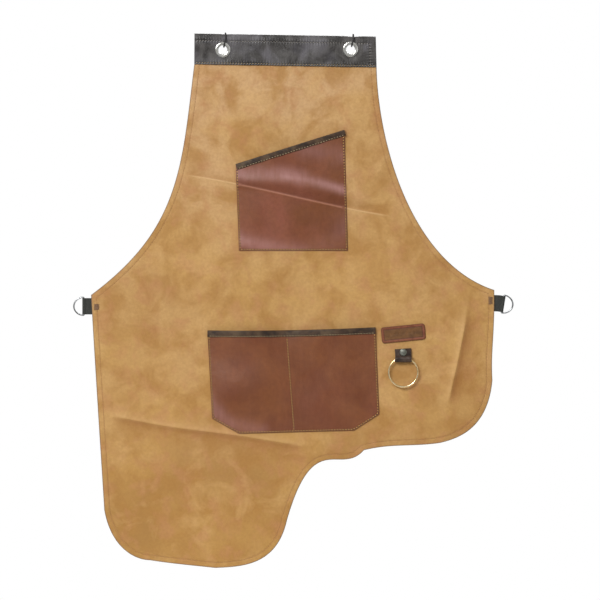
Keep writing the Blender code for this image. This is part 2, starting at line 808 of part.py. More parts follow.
def webbing_loop(side, label, hinge, bar_distance, tilt, material):
    """The free part of the webbing, round the D-ring's bar."""
    outline, bore = loop_profile(bar_distance)

    def place(height):
        def at(p):
            out, drop, angle = strap_line(p.x, bar_distance, tilt)
            x = out + height * math.sin(angle)
            z = height * math.cos(angle) - drop
            return hinge + Vector((side * x, p.y, z))

        return at

    half = WEBBING_WIDTH / 2.0
    slab(f"{label}_webbing_loop", material, outline, [bore], place(-half), place(half), origin=hinge)


def ring_path():
    """The D-ring's centre line in its own plane: outward from the bar, and along the bar."""
    height, depth, corner = RING_HALF_HEIGHT, RING_DEPTH, RING_CORNER
    found = [Vector((0.0, (height - corner) * i / 3.0)) for i in (-3, -2, -1, 0, 1, 2, 3)]
    arc_start = math.asin(corner / depth)
    turn_end = Vector((corner, height * math.cos(arc_start)))
    top_corner = []
    for i in range(1, 4):
        t = i / 4.0
        a = Vector((0.0, height - corner)).lerp(Vector((0.0, height)), t)
        b = Vector((0.0, height)).lerp(turn_end, t)
        top_corner.append(a.lerp(b, t))
    found += top_corner
    for i in range(21):
        angle = mix(arc_start, math.pi - arc_start, i / 20.0)
        found.append(Vector((depth * math.sin(angle), height * math.cos(angle))))
    found += [Vector((p.x, -p.y)) for p in reversed(top_corner)]
    return found


def d_ring(side, label, bar_centre, tilt, material):
    bar = Vector((side * math.sin(tilt), 0.0, math.cos(tilt)))
    outward = Vector((side * math.cos(tilt), 0.0, -math.sin(tilt)))
    path = [bar_centre + outward * p.x + bar * p.y for p in ring_path()]
    normal = Vector((0.0, 1.0, 0.0))
    wire_loop(f"{label}_d_ring", material, path, normal, RING_WIRE, WIRE_SIDES, bar_centre)


def side_strap(side, webbing, nickel):
    """One side's sewn webbing, its free loop and the D-ring in it. side is -1 on the left, 1 on the right."""
    if side < 0:
        label, edge, middle_z = "left", LEFT_WAIST[0], LEFT_STRAP_Z
        bar_distance, tilt = LEFT_BAR_DISTANCE, LEFT_STRAP_TILT
    else:
        label, edge, middle_z = "right", RIGHT_WAIST[0], RIGHT_STRAP_Z
        bar_distance, tilt = RIGHT_BAR_DISTANCE, RIGHT_STRAP_TILT
    hinge = Vector((edge + side * HINGE_CLEARANCE, webbing_middle(), middle_z))
    webbing_end(side, label, edge, middle_z, webbing)
    webbing_loop(side, label, hinge, bar_distance, tilt, webbing)
    out, drop, _ = strap_line(bar_distance, bar_distance, tilt)
    bar_centre = hinge + Vector((side * out, 0.0, -drop))
    d_ring(side, label, bar_centre, tilt, nickel)


# ---------------------------------------------------------------- key tab, rivet and ring


def tab_levels():
    """y of the folded tab's back and front, y and z of the ring's swing axis, and the fold's inner radius."""
    back = -(PANEL_THICKNESS / 2.0 + LAYER_GAP)
    front = back - 2.0 * TAB_PLY - 0.0001
    ring_top = KEY_RING_RADIUS + KEY_RING_WIRE
    ring_exit = math.sqrt((KEY_RING_RADIUS - KEY_RING_WIRE) ** 2 - TAB_HALF_WIDTH**2)
    bore = (ring_top - ring_exit) / 2.0 + KEY_RING_PLAY
    axis_y = back - TAB_PLY - bore
    axis_z = KEY_RING_CENTRE_Z + (ring_top + ring_exit) / 2.0
    return back, front, axis_y, axis_z, bore


def key_tab(material):
    """A strap end folded round the key ring, held by the rivet through both plies."""
    back, front, axis_y, axis_z, bore = tab_levels()
    outer = bore + TAB_PLY
    join = math.acos((front - axis_y) / outer)
    outline = [Vector((back, TAB_TOP))]
    for i in range(19):
        angle = mix(0.0, -(2.0 * math.pi - join), i / 18.0)
        y = axis_y + outer * math.cos(angle)
        outline.append(Vector((y, axis_z + outer * math.sin(angle))))
    outline.append(Vector((front, TAB_TOP)))
    tunnel = circle((axis_y, axis_z), bore, 18)
    origin = (RIVET_X, front, RIVET_Z)
    tab = slab(
        "key_tab",
        material,
        outline,
        [tunnel],
        lambda p: Vector((RIVET_X - TAB_HALF_WIDTH, p.x, p.y)),
        lambda p: Vector((RIVET_X + TAB_HALF_WIDTH, p.x, p.y)),
        origin=origin,
    )
    near, far = front - 0.004, front + 0.004
    rod = [(0.0, near), (RIVET_HOLE, near), (RIVET_HOLE, far), (0.0, far)]
    cutter = turned("key_tab_hole_cutter", material, rod, Vector(origin), 20)
    cutter.hide_render = True
    cutter.display_type = "WIRE"
    hole = tab.modifiers.new("rivet_hole", "BOOLEAN")
    hole.operation = "DIFFERENCE"
    hole.object = cutter


def key_rivet(material):
    """The rivet: cap, shank and spread end in one piece, and the ring it is spread over."""
    back, front = tab_levels()[:2]
    centre = Vector((RIVET_X, 0.0, RIVET_Z))
    seat = front - LAYER_GAP
    base_front = PANEL_THICKNESS / 2.0 + LAYER_GAP
    base_back = base_front + 0.0010
    spread = base_back + LAYER_GAP
    rivet = [
        (0.0, seat - RIVET_CAP_HEIGHT),
        (0.0022, seat - RIVET_CAP_HEIGHT * 0.95),
        (0.0040, seat - RIVET_CAP_HEIGHT * 0.72),
        (0.0050, seat - RIVET_CAP_HEIGHT * 0.42),
        (RIVET_CAP, seat - 0.0002),
        (0.0052, seat),
        (RIVET_SHANK, seat),
        (RIVET_SHANK, spread),
        (0.0030, spread),
        (0.0029, spread + 0.0004),
        (0.0020, spread + 0.0007),
        (0.0, spread + 0.0008),
    ]
    turned("key_rivet", material, rivet, centre, 28)
    base = [
        (RIVET_HOLE, base_front),
        (RIVET_BASE, base_front),
        (RIVET_BASE, base_back - 0.0003),
        (RIVET_BASE - 0.0004, base_back),
        (RIVET_HOLE, base_back),
    ]
    turned("key_rivet_base", material, base, centre, 28)


def key_ring(material):
    axis_y, axis_z = tab_levels()[2:4]
    centre = Vector((RIVET_X, axis_y, KEY_RING_CENTRE_Z))
    path = []
    for i in range(44):
        angle = math.pi / 2.0 + 2.0 * math.pi * i / 44
        offset = Vector((math.cos(angle), 0.0, math.sin(angle)))
        path.append(centre + offset * KEY_RING_RADIUS)
    origin = Vector((RIVET_X, axis_y, axis_z))
    normal = Vector((0.0, 1.0, 0.0))
    wire_loop("key_ring", material, path, normal, KEY_RING_WIRE, WIRE_SIDES, origin)


# ---------------------------------------------------------------- the apron


def main():
    for leftover in list(bpy.data.objects):
        bpy.data.objects.remove(leftover, do_unlink=True)
    looks = make_materials()
    body_panel(looks["suede"])
    bib_band(looks["band"])
    for side, label in ((-1, "left"), (1, "right")):
        eyelet(side, label, looks["nickel"])
        hanging_cord(side, label, looks["cord"])
    chest_pocket(looks["pocket"], looks["binding"])
    lower_pocket(looks["pocket"], looks["binding"])
    name_patch(looks["patch"])
    for side in (-1, 1):
        side_strap(side, looks["webbing"], looks["nickel"])
    key_tab(looks["tab"])
    key_rivet(looks["gunmetal"])
    key_ring(looks["nickel"])


main()
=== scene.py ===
import math

import bmesh
import bpy
import numpy as np
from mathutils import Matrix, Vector, geometry


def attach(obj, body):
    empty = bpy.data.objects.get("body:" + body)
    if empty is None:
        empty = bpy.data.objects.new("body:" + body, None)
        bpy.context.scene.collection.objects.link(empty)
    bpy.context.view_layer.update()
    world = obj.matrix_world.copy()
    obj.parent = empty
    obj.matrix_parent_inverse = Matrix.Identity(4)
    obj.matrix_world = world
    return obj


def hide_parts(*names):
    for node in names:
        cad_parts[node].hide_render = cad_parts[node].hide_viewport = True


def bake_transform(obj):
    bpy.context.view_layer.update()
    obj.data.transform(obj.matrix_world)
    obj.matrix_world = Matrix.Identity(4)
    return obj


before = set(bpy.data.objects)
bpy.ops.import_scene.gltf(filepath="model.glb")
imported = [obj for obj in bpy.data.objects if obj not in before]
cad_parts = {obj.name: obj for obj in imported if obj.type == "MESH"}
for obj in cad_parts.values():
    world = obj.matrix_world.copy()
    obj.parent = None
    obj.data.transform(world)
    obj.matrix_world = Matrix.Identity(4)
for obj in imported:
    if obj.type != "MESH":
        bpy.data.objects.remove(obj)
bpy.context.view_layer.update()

# All lengths are in metres, in the frame of the CAD part: +X right, -Y out of the front, +Z up.
# The pattern's own coordinates are (x, z). The sizes down to the next heading repeat the CAD part's.

PANEL_THICKNESS = 0.0016
POCKET_THICKNESS = 0.0014
BINDING_THICKNESS = 0.0009
BAND_THICKNESS = 0.0010
PATCH_THICKNESS = 0.0016
LAYER_GAP = 0.0003
BINDING_GAP = 0.00035

BIB_TOP_LEFT = (-0.1383, 0.0229)
BIB_TOP_RIGHT = (0.1337, 0.0184)
BAND_BOTTOM_LEFT = (-0.1386, -0.0220)
BAND_BOTTOM_RIGHT = (0.1349, -0.0266)
LEFT_WAIST = (-0.2934, -0.3680)
RIGHT_WAIST = (0.3114, -0.3606)
LEFT_LOW = (-0.2736, -0.6910)
HEM_LEFT = (-0.2050, -0.7660)
HEM_MIDDLE = (-0.1070, -0.7775)
LOBE_TOP = (0.0005, -0.7060)
STEP_CORNER = (0.1160, -0.6010)
RIGHT_HEM = (0.2300, -0.5900)
RIGHT_LOW = (0.3087, -0.4960)
SIDE_SEGMENTS = (
    (BIB_TOP_LEFT, None, BAND_BOTTOM_LEFT),
    (BAND_BOTTOM_LEFT, ((-0.1578, -0.1757), (-0.1592, -0.2683)), LEFT_WAIST),
    (LEFT_WAIST, ((-0.2874, -0.4797), (-0.2784, -0.6150)), LEFT_LOW),
    (LEFT_LOW, ((-0.2627, -0.7512), (-0.2242, -0.7662)), HEM_LEFT),
    (HEM_LEFT, ((-0.1765, -0.7706), (-0.1429, -0.7737)), HEM_MIDDLE),
    (HEM_MIDDLE, ((-0.0679, -0.7756), (-0.0149, -0.7752)), LOBE_TOP),
    (LOBE_TOP, ((0.0406, -0.5649), (0.0802, -0.6418)), STEP_CORNER),
    (STEP_CORNER, ((0.1583, -0.5906), (0.1892, -0.5960)), RIGHT_HEM),
    (RIGHT_HEM, ((0.2589, -0.5832), (0.3021, -0.5681)), RIGHT_LOW),
    (RIGHT_LOW, ((0.3060, -0.4497), (0.3124, -0.4313)), RIGHT_WAIST),
    (RIGHT_WAIST, ((0.1847, -0.3190), (0.1371, -0.1356)), BAND_BOTTOM_RIGHT),
    (BAND_BOTTOM_RIGHT, None, BIB_TOP_RIGHT),
)

DRAPE_START = -0.070
DRAPE_RAMP = 0.380
WAVE_DEPTH = 0.0030
WAVE_LENGTH = 0.300
WAVE_CENTRE = -0.060
CURL_DEPTH = 0.0050
CURL_START = 0.150
CURL_RUN = 0.150
# x, z, radius that stays flat, radius where the full drape is reached
FLAT_SPOTS = (
    (-0.2934, -0.3850, 0.034, 0.150),
    (0.3114, -0.3810, 0.034, 0.150),
    (0.1750, -0.4500, 0.066, 0.190),
)

EYELET_X = 0.0958
EYELET_RISE = 0.0004
EYELET_HOLE_RADIUS = 0.0074
BARREL_RADIUS = 0.0071
BARREL_BORE = 0.0066
FLANGE_RADIUS = 0.0115
CORD_DIAMETER = 0.0024
KNOT_PLACE = (0.0033, 0.0063, 0.0142)
LEFT_EDGE_HEIGHT = 0.0226
RIGHT_EDGE_HEIGHT = 0.0196

CHEST_TOP_LEFT = (-0.0764, -0.1730)
CHEST_TOP_RIGHT = (0.0866, -0.1214)
CHEST_BOTTOM_RIGHT = (0.0917, -0.3015)
CHEST_BOTTOM_LEFT = (-0.0714, -0.3015)
CHEST_BULGE = 0.0065
CHEST_BINDING_DEPTH = 0.0075

LOWER_TOP_LEFT = (-0.1188, -0.4224)
LOWER_TOP_RIGHT = (0.1332, -0.4176)
LOWER_SIDE_RIGHT = (0.1389, -0.5470)
LOWER_FOOT_RIGHT = (0.1010, -0.5714)
LOWER_FOOT_LEFT = (-0.0716, -0.5759)
LOWER_SIDE_LEFT = (-0.1116, -0.5534)
LOWER_SAG = 0.0020
DIVIDER_TOP = (0.0000, -0.4270)
DIVIDER_FOOT = (0.0110, -0.5710)
LOWER_BULGE = 0.0060
LOWER_BINDING_DEPTH = 0.0085
MOUTH_ROOM_DEPTH = 0.045

PATCH_CENTRE = (0.1749, -0.4257)
PATCH_SIZE = (0.066, 0.024)
PATCH_CORNER = 0.004
PATCH_TILT = math.radians(5.8)

WEBBING_WIDTH = 0.0246
WEBBING_HALF_THICKNESS = 0.0013
WEBBING_PLY = 0.0012
WEBBING_SEWN_LENGTH = 0.031
HINGE_CLEARANCE = 0.0020
RING_WIRE = 0.00115
BAR_PLAY = 0.00035
RING_HALF_HEIGHT = 0.01365
RING_DEPTH = 0.0153
RING_CORNER = 0.0023
LEFT_STRAP_Z = -0.3850
LEFT_BAR_DISTANCE = 0.0086
LEFT_STRAP_TILT = 0.0
RIGHT_STRAP_Z = -0.3805
RIGHT_BAR_DISTANCE = 0.0107
RIGHT_STRAP_TILT = math.radians(9.0)

RIVET_X = 0.1748
RIVET_Z = -0.4539
RIVET_SHANK = 0.0020
RIVET_HOLE = 0.0024
RIVET_CAP = 0.0054
RIVET_CAP_HEIGHT = 0.0016
RIVET_BASE = 0.0048
TAB_HALF_WIDTH = 0.0123
TAB_PLY = 0.0012
TAB_TOP = -0.4486
KEY_RING_RADIUS = 0.0218
KEY_RING_WIRE = 0.0013
KEY_RING_CENTRE_Z = -0.4840
KEY_RING_PLAY = 0.00025

# ---- what only the looks have ----

# Folds pressed into the leather: points, ridge height and width, shoulder height and side, and how strong the
# painted light and painted shade beside the fold are.
CREASES = (
    (((-0.157, -0.187), (-0.0745, -0.202), (0.085, -0.237), (0.162, -0.251)), 0.00055, 0.0012, 0.0, -1, 0.55),
    (((-0.120, -0.182), (-0.067, -0.1960), (0.005, -0.2010), (0.083, -0.2190), (0.135, -0.231)),
     0.0021, 0.0085, 0.0, 1, 0.0),
    (((-0.100, -0.306), (-0.060, -0.2930), (-0.010, -0.3000), (0.030, -0.310)), 0.0012, 0.0090, 0.0, 1, 0.0),
    (((-0.270, -0.548), (-0.175, -0.5655), (-0.078, -0.578), (0.035, -0.596)),
     0.0006, 0.0042, 0.0026, 1, 1.0),
    (((0.278, -0.349), (0.262, -0.440), (0.2400, -0.540)), 0.0005, 0.0042, 0.0028, -1, 1.5),
    (((-0.187, -0.286), (-0.190, -0.370), (-0.187, -0.451)), 0.0008, 0.0090, 0.0012, 1, 0.5),
    (((0.168, -0.085), (0.150, -0.150), (0.128, -0.205)), 0.0006, 0.0070, 0.0008, 1, 0.3),
    (((-0.120, -0.640), (-0.020, -0.660), (0.040, -0.640)), 0.0007, 0.0080, 0.0010, -1, 0.3),
)
# Painted sheen on the pockets' oiled leather, a painted reflection along its rolls: points, half width and
# strength.
PAINTED_SHEENS = (
    (((-0.090, -0.1870), (-0.040, -0.1860), (0.000, -0.1880), (0.025, -0.1930)), 0.0110, 0.80),
    (((-0.010, -0.1890), (0.035, -0.1960), (0.065, -0.2040), (0.095, -0.2130)), 0.0068, 0.95),
    (((-0.085, -0.2780), (-0.055, -0.2900), (-0.015, -0.3000), (0.030, -0.3040)), 0.0120, 0.62),
    (((0.020, -0.3080), (0.070, -0.2850), (0.100, -0.2500)), 0.0160, 0.22),
    (((0.030, -0.1500), (0.070, -0.1550), (0.095, -0.1600)), 0.0160, 0.35),
    (((-0.118, -0.5250), (-0.090, -0.5560), (-0.040, -0.5720)), 0.0110, 0.45),
)
# x, z, radius that has no crease, radius where a crease is whole
CREASE_FREE_SPOTS = (
    (-0.2934, -0.3850, 0.030, 0.060),
    (0.3114, -0.3810, 0.030, 0.060),
    (0.1750, -0.4500, 0.062, 0.088),
)
SHOULDER_RUN = 0.020
CREASE_FADE = 0.030
# A wider crease is so soft that the plain grid carries it.
WIDEST_SHARP_CREASE = 0.005
# How far a fold's painted light reaches on its pale side, and its painted shade on its dark side.
PAINTED_LIGHT_REACH = 0.006
PAINTED_SHADE_REACH = 0.014

GRID_STEP = 0.0036
LEAST_SPACING = 0.00042
STITCH_PITCH = 0.0042
POCKET_GRID_STEP = 0.0026
EDGE_STEP = 0.0030
HEM_DISTANCE = 0.0082
HEM_GROOVE = 0.00030
HEM_STITCHES_TOP = -0.024
HOLE_SIDES = 40
# How deep the threads lie in the leather: the hem's, those on the back, the pockets' and the band's,
# and the bindings'.
HEM_THREAD_SINK = 0.00012
BACK_THREAD_SINK = 0.00010
THREAD_SINK = 0.00016
BINDING_THREAD_SINK = 0.00008
# Distances in from the edge where a sheet's mesh gets a row of points, close together at pressed lines.
PANEL_ROWS = (0.0003, 0.0008, 0.0018, 0.0038, 0.0058)
PANEL_GROOVE_ROWS = (-0.0010, -0.0004, 0.0, 0.0004, 0.0010)
PANEL_LAST_ROW = 0.0114
POCKET_ROWS = (0.0003, 0.0008, 0.0013, 0.0018, 0.0023, 0.0032, 0.0050)
PATCH_ROWS = (0.0003, 0.0008, 0.0016, 0.0028, 0.0037, 0.0042, 0.0047)
PATCH_GRID_STEP = 0.0007
POCKET_PUCKER_DEPTH = 0.00016
POCKET_PUCKER_LENGTH = 0.0115
POCKET_PRESS = 0.00028
DIVIDER_PRESS = 0.00035

# The blocks of thread over the webbing, as their lower left and upper right corners.
LEFT_TACK = ((-0.2900, -0.3900), (-0.2805, -0.3820))
RIGHT_TACK = ((0.3022, -0.3815), (0.3098, -0.3712))
TACK_ROWS = 12
WEBBING_STATIONS = 97
WEBBING_RIB = 0.00175
WEBBING_WEAVE = 0.0012
WEBBING_FOLD_HALF_TURN = 125.0

PHOTO_CENTRE = (0.0200, -0.3756)
PHOTO_WIDTH = 0.900
CAMERA_DISTANCE = 8.0
FLOOR_Z = -0.900
FLOOR_RADIUS = 0.75
LIT_POINT = (0.02, 0.0, -0.37)
# name, place, size and power in watts
LIGHTS = (
    ("key_light", (-1.6, -2.9, 1.5), (2.0, 1.2), 106.0),
    ("side_light", (2.6, -2.2, 0.2), (1.2, 2.0), 5.0),
    ("back_light", (0.8, 3.0, 1.2), (2.0, 1.4), 70.0),
)
KNOT_SIZE = 0.00050
KNOT_STRAND = 0.00078


# ---------------------------------------------------------------- small helpers


# An offset point nearer to its line than this share of the distance lies on the wrong side of a corner.
STILL_AWAY = 0.97


def ease(t):
    t = np.clip(t, 0.0, 1.0)
    return t * t * (3.0 - 2.0 * t)


def bell(distance, width):
    """1 at no distance, falling off over about this width."""
    return np.exp(-((distance / width) ** 2))


def quarter_round(t):
    """A quarter circle's height: 0 at t = 0, 1 from t = 1 on."""
    return np.sqrt(np.clip(1.0 - (1.0 - np.clip(t, 0.0, 1.0)) ** 2, 0.0, 1.0))


def line_at(start, end, value, along):
    t = (value - start[along]) / (end[along] - start[along])
    return start[1 - along] + (end[1 - along] - start[1 - along]) * t


def bezier(start, handles, end, step=EDGE_STEP):
    """Points about one step apart on a cubic curve, without its last one."""
    a, d = np.array(start), np.array(end)
    if handles is None:
        handles = (a + (d - a) / 3.0, d - (d - a) / 3.0)
    b, c = np.array(handles[0]), np.array(handles[1])
    t = np.linspace(0.0, 1.0, 200)[:, None]
    dense = a * (1 - t) ** 3 + 3 * b * t * (1 - t) ** 2 + 3 * c * t * t * (1 - t) + d * t**3
    return resample(dense, step)[:-1]


def lengths_along(points):
    steps = np.linalg.norm(np.diff(points, axis=0), axis=1)
    return np.concatenate([[0.0], np.cumsum(steps)])


def resample(points, step, count=None):
    at = lengths_along(points)
    count = count or max(1, round(at[-1] / step))
    wanted = np.linspace(0.0, at[-1], count + 1)
    return np.stack([np.interp(wanted, at, column) for column in points.T], axis=1)


def straight(corners, step=EDGE_STEP):
    """The closed outline through these corners."""
    ends = list(corners[1:]) + [corners[0]]
    return np.concatenate([bezier(a, None, b, step) for a, b in zip(corners, ends)])


def circle(centre, radius, sides):
    turn = whole_turn(sides)
    return np.stack([centre[0] + radius * np.cos(turn), centre[1] + radius * np.sin(turn)], axis=1)


def inside(points, loop):
    """Which points lie inside the closed loop."""
    found = np.zeros(len(points), bool)
    for a, b in zip(loop, np.roll(loop, -1, axis=0)):
        if a[1] == b[1]:
            continue
        crosses = (a[1] > points[:, 1]) != (b[1] > points[:, 1])
        at = a[0] + (points[:, 1] - a[1]) * (b[0] - a[0]) / (b[1] - a[1])
        found ^= crosses & (points[:, 0] < at)
    return found


def nearest(points, line):
    """For each point: distance to the open line, length along it there, and which side it is on."""
    best = np.full(len(points), np.inf)
    along = np.zeros(len(points))
    side = np.zeros(len(points))
    at = lengths_along(line)
    for i, (a, b) in enumerate(zip(line, line[1:])):
        run = b - a
        length = np.linalg.norm(run)
        if length < 1e-9:
            continue
        t = np.clip((points - a) @ run / length**2, 0.0, 1.0)
        away = points - (a + t[:, None] * run)
        distance = np.hypot(away[:, 0], away[:, 1])
        closer = distance < best
        best[closer] = distance[closer]
        along[closer] = at[i] + t[closer] * length
        side[closer] = np.sign(run[0] * away[closer, 1] - run[1] * away[closer, 0])
    return best, along, side


def closed(loop):
    return np.concatenate([loop, loop[:1]])


def directions(line, wrap=False):
    """The unit direction at each point of an open line or, with wrap, of a closed loop."""
    run = np.roll(line, -1, axis=0) - np.roll(line, 1, axis=0) if wrap else np.gradient(line, axis=0)
    return run / np.linalg.norm(run, axis=1)[:, None]


def normals(line, wrap=False):
    """The unit normal to the left of a line in (x, z), at each of its points."""
    run = directions(line, wrap)
    return np.stack([-run[:, 1], run[:, 0]], axis=1)


def whole_turn(sides):
    return 2.0 * np.pi * np.arange(sides) / sides


def skin(pairs, sides, row=None, first=0):
    """The faces between pairs of rings. Each ring has this many sides and starts at first in its row."""
    row = row or sides
    ends = [(first + k, first + (k + 1) % sides) for k in range(sides)]
    return [(m * row + a, m * row + b, n * row + b, n * row + a) for m, n in pairs for a, b in ends]


def steps_of(count):
    return [(i, i + 1) for i in range(count - 1)]


def loop_of(count):
    return [(i, (i + 1) % count) for i in range(count)]


def signed_area(loop):
    """The loop's area, positive where it runs anticlockwise."""
    x, z = loop.T
    return (np.dot(x, np.roll(z, -1)) - np.dot(z, np.roll(x, -1))) / 2.0


def area_of(loop):
    return abs(signed_area(loop))


def offset_line(line, distance, wrap=False):
    """A line this far to the left of another in (x, z), which is inside an anticlockwise loop."""
    moved = line + distance * normals(line, wrap)
    return moved[nearest(moved, closed(line) if wrap else line)[0] > distance * STILL_AWAY]


def anticlockwise(loop):
    return loop if signed_area(loop) > 0 else loop[::-1]


def spread_points(points, spacing):
    """The points, leaving out each that lies within the spacing of an earlier one."""
    kept, cells = [], {}
    for p in points:
        cell = (int(p[0] // spacing), int(p[1] // spacing))
        near = [q for i in (-1, 0, 1) for j in (-1, 0, 1) for q in cells.get((cell[0] + i, cell[1] + j), ())]
        if all((p[0] - q[0]) ** 2 + (p[1] - q[1]) ** 2 > spacing**2 for q in near):
            kept.append(p)
            cells.setdefault(cell, []).append(p)
    return np.array(kept)


def hex_grid(loop, spacing):
    low, high = loop.min(0), loop.max(0)
    row = spacing * math.sqrt(0.75)
    zs = np.arange(low[1], high[1], row)
    xs = np.arange(low[0], high[0], spacing)
    x, z = np.meshgrid(xs, zs)
    x = x + 0.5 * spacing * (np.arange(len(zs)) % 2)[:, None]
    return np.stack([x.ravel(), z.ravel()], axis=1)


def triangulate(outline, holes, inner):
    """Points and triangles of a flat region: its outline's points, each hole's and then the inner ones."""
    loops = [outline, *holes]
    edges, first = [], 0
    for loop in loops:
        edges += [(first + i, first + (i + 1) % len(loop)) for i in range(len(loop))]
        first += len(loop)
    points = np.concatenate([*loops, inner]) if len(inner) else np.concatenate(loops)
    result = geometry.delaunay_2d_cdt([Vector(p) for p in points], edges, [], 1, 1e-9)
    made = np.array([tuple(p) for p in result[0]])
    faces = np.array([f for f in result[2] if len(f) == 3])
    middle = made[faces].mean(axis=1)
    keep = np.ones(len(faces), bool)
    for hole in holes:
        keep &= ~inside(middle, hole)
    back = np.array([source[0] for source in result[3]])
    return points, back[faces[keep]], [len(loop) for loop in loops]


def add_object(name, data):
    made = bpy.data.objects.new(name, data)
    bpy.context.scene.collection.objects.link(made)
    return made


def new_piece(name, points, faces, materials, body, indices=None, smooth_angle=35.0):
    mesh = bpy.data.meshes.new(name)
    mesh.from_pydata([tuple(p) for p in np.asarray(points, float)], [], [tuple(map(int, f)) for f in faces])
    shape = bmesh.new()
    shape.from_mesh(mesh)
    bmesh.ops.recalc_face_normals(shape, faces=shape.faces)
    if shape.calc_volume(signed=True) < 0.0:
        bmesh.ops.reverse_faces(shape, faces=shape.faces)
    shape.to_mesh(mesh)
    shape.free()
    for material in materials if isinstance(materials, (list, tuple)) else [materials]:
        mesh.materials.append(material)
    if indices is not None:
        mesh.polygons.foreach_set("material_index", np.asarray(indices, np.int32))
    mesh.shade_smooth()
    mesh.set_sharp_from_angle(angle=math.radians(smooth_angle))
    piece = add_object(name, mesh)
    if body:
        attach(piece, body)
    return piece


def paint(piece, name, values):
    attribute = piece.data.attributes.new(name, "FLOAT", "POINT")
    attribute.data.foreach_set("value", np.asarray(values, np.float32))


# ---------------------------------------------------------------- the leather's surface


def drape(x, z):
    """How far the middle of the panel lies behind the flat plane y = 0."""
    fall = ease((DRAPE_START - z) / DRAPE_RAMP)
    wave = -WAVE_DEPTH * np.cos(2.0 * np.pi * (x - WAVE_CENTRE) / WAVE_LENGTH)
    curl = CURL_DEPTH * ease((np.abs(x) - CURL_START) / CURL_RUN)
    return fall * (wave + curl) * looseness(x, z)


def clear_of(spots, x, z):
    """0 within each spot's inner radius, rising to 1 at its outer radius."""
    free = np.ones_like(x)
    for spot_x, spot_z, flat, full in spots:
        free = free * ease((np.hypot(x - spot_x, z - spot_z) - flat) / (full - flat))
    return free


def looseness(x, z):
    """0 where hardware holds the panel flat, 1 where it hangs free."""
    return clear_of(FLAT_SPOTS, x, z)


def panel_outline(step=EDGE_STEP):
    sides = [bezier(*segment, step) for segment in SIDE_SEGMENTS]
    return np.concatenate([*sides, bezier(BIB_TOP_RIGHT, None, BIB_TOP_LEFT, step)])


SWAY_STEP = 0.012
SWAY_LOW = (-0.330, -0.800)
SWAY_COUNT = (57, 71)
SWAY_CAP = 0.0032
SWAY_FRAMES = 36
CLOTH_SETTINGS = {
    "quality": 6,
    "mass": 0.4,
    "tension_stiffness": 40.0,
    "compression_stiffness": 40.0,
    "shear_stiffness": 25.0,
    "bending_stiffness": 6.0,
    "air_damping": 2.0,
    "vertex_group_mass": "held",
    "shrink_min": -0.006,
}


def hang_by_simulation():
    """The sheet hung from its band by cloth simulation: how far each grid point moves back or forward."""
    xs = SWAY_LOW[0] + SWAY_STEP * np.arange(SWAY_COUNT[0])
    zs = SWAY_LOW[1] + SWAY_STEP * np.arange(SWAY_COUNT[1])
    x, z = np.meshgrid(xs, zs)
    points = np.stack([x.ravel(), z.ravel()], axis=1)
    outline = panel_outline(0.010)
    within = inside(points, outline) | (nearest(points, closed(outline))[0] < 0.5 * SWAY_STEP)
    number = np.cumsum(within) - 1
    start_y = drape(points[:, 0], points[:, 1])
    ripple = 0.0015 * np.sin(points[:, 0] * 31.0 + 1.1) * np.cos(points[:, 1] * 17.0 + points[:, 0] * 9.0)
    start = np.stack([points[:, 0], start_y + ripple * looseness(*points.T), points[:, 1]], axis=1)
    faces = []
    for row in range(SWAY_COUNT[1] - 1):
        for column in range(SWAY_COUNT[0] - 1):
            a = row * SWAY_COUNT[0] + column
            corners = (a, a + 1, a + 1 + SWAY_COUNT[0], a + SWAY_COUNT[0])
            if all(within[i] for i in corners):
                faces.append(tuple(int(number[i]) for i in corners))
    mesh = bpy.data.meshes.new("hang_trial")
    mesh.from_pydata([tuple(p) for p in start[within]], [], faces)
    trial = add_object("hang_trial", mesh)
    held = trial.vertex_groups.new(name="held")
    weights = 1.0 - looseness(*points[within].T)
    weights = np.maximum(weights, ease((points[within][:, 1] + 0.060) / 0.030))
    for i, weight in enumerate(weights):
        held.add([i], float(weight), "REPLACE")
    cloth = trial.modifiers.new("hang", "CLOTH")
    for name, value in CLOTH_SETTINGS.items():
        setattr(cloth.settings, name, value)
    cloth.point_cache.frame_start = 1
    cloth.point_cache.frame_end = SWAY_FRAMES
    for number_of_frame in range(1, SWAY_FRAMES + 1):
        bpy.context.scene.frame_set(number_of_frame)
    graph = bpy.context.evaluated_depsgraph_get()
    evaluated = trial.evaluated_get(graph)
    settled = np.empty(len(mesh.vertices) * 3, np.float32)
    evaluated.data.vertices.foreach_get("co", settled)
    moved = np.full(len(points), np.nan)
    moved[within] = settled.reshape(-1, 3)[:, 1] - start_y[within]
    bpy.data.objects.remove(trial)
    bpy.context.scene.frame_set(1)
    return moved.reshape(SWAY_COUNT[1], SWAY_COUNT[0])


def fill_and_blur(field, rounds=6):
    """Fills the grid outside the sheet from its neighbours, and smooths it."""
    known = ~np.isnan(field)
    field = np.where(known, field, 0.0)
    weight = known.astype(float)
    for _ in range(24):
        total, share = field * weight, weight.copy()
        around, around_share = np.zeros_like(field), np.zeros_like(field)
        for shift, axis in ((1, 0), (-1, 0), (1, 1), (-1, 1)):
            around += np.roll(total, shift, axis)
            around_share += np.roll(share, shift, axis)
        new = (around_share > 0) & (weight == 0)
        field[new] = around[new] / around_share[new]
        weight[new] = 1.0
    for _ in range(rounds):
        for axis in (0, 1):
            field = 0.5 * field + 0.25 * (np.roll(field, 1, axis) + np.roll(field, -1, axis))
    return field


def sway_field():
    """The settled sheet's shape, capped, as a grid."""
    field = fill_and_blur(hang_by_simulation())
    return SWAY_CAP * np.tanh(field / SWAY_CAP)


SWAY = sway_field()


def cubic_weights(t):
    return (
        -0.5 * t**3 + t**2 - 0.5 * t,
        1.5 * t**3 - 2.5 * t**2 + 1.0,
        -1.5 * t**3 + 2.0 * t**2 + 0.5 * t,
        0.5 * t**3 - 0.5 * t**2,
    )


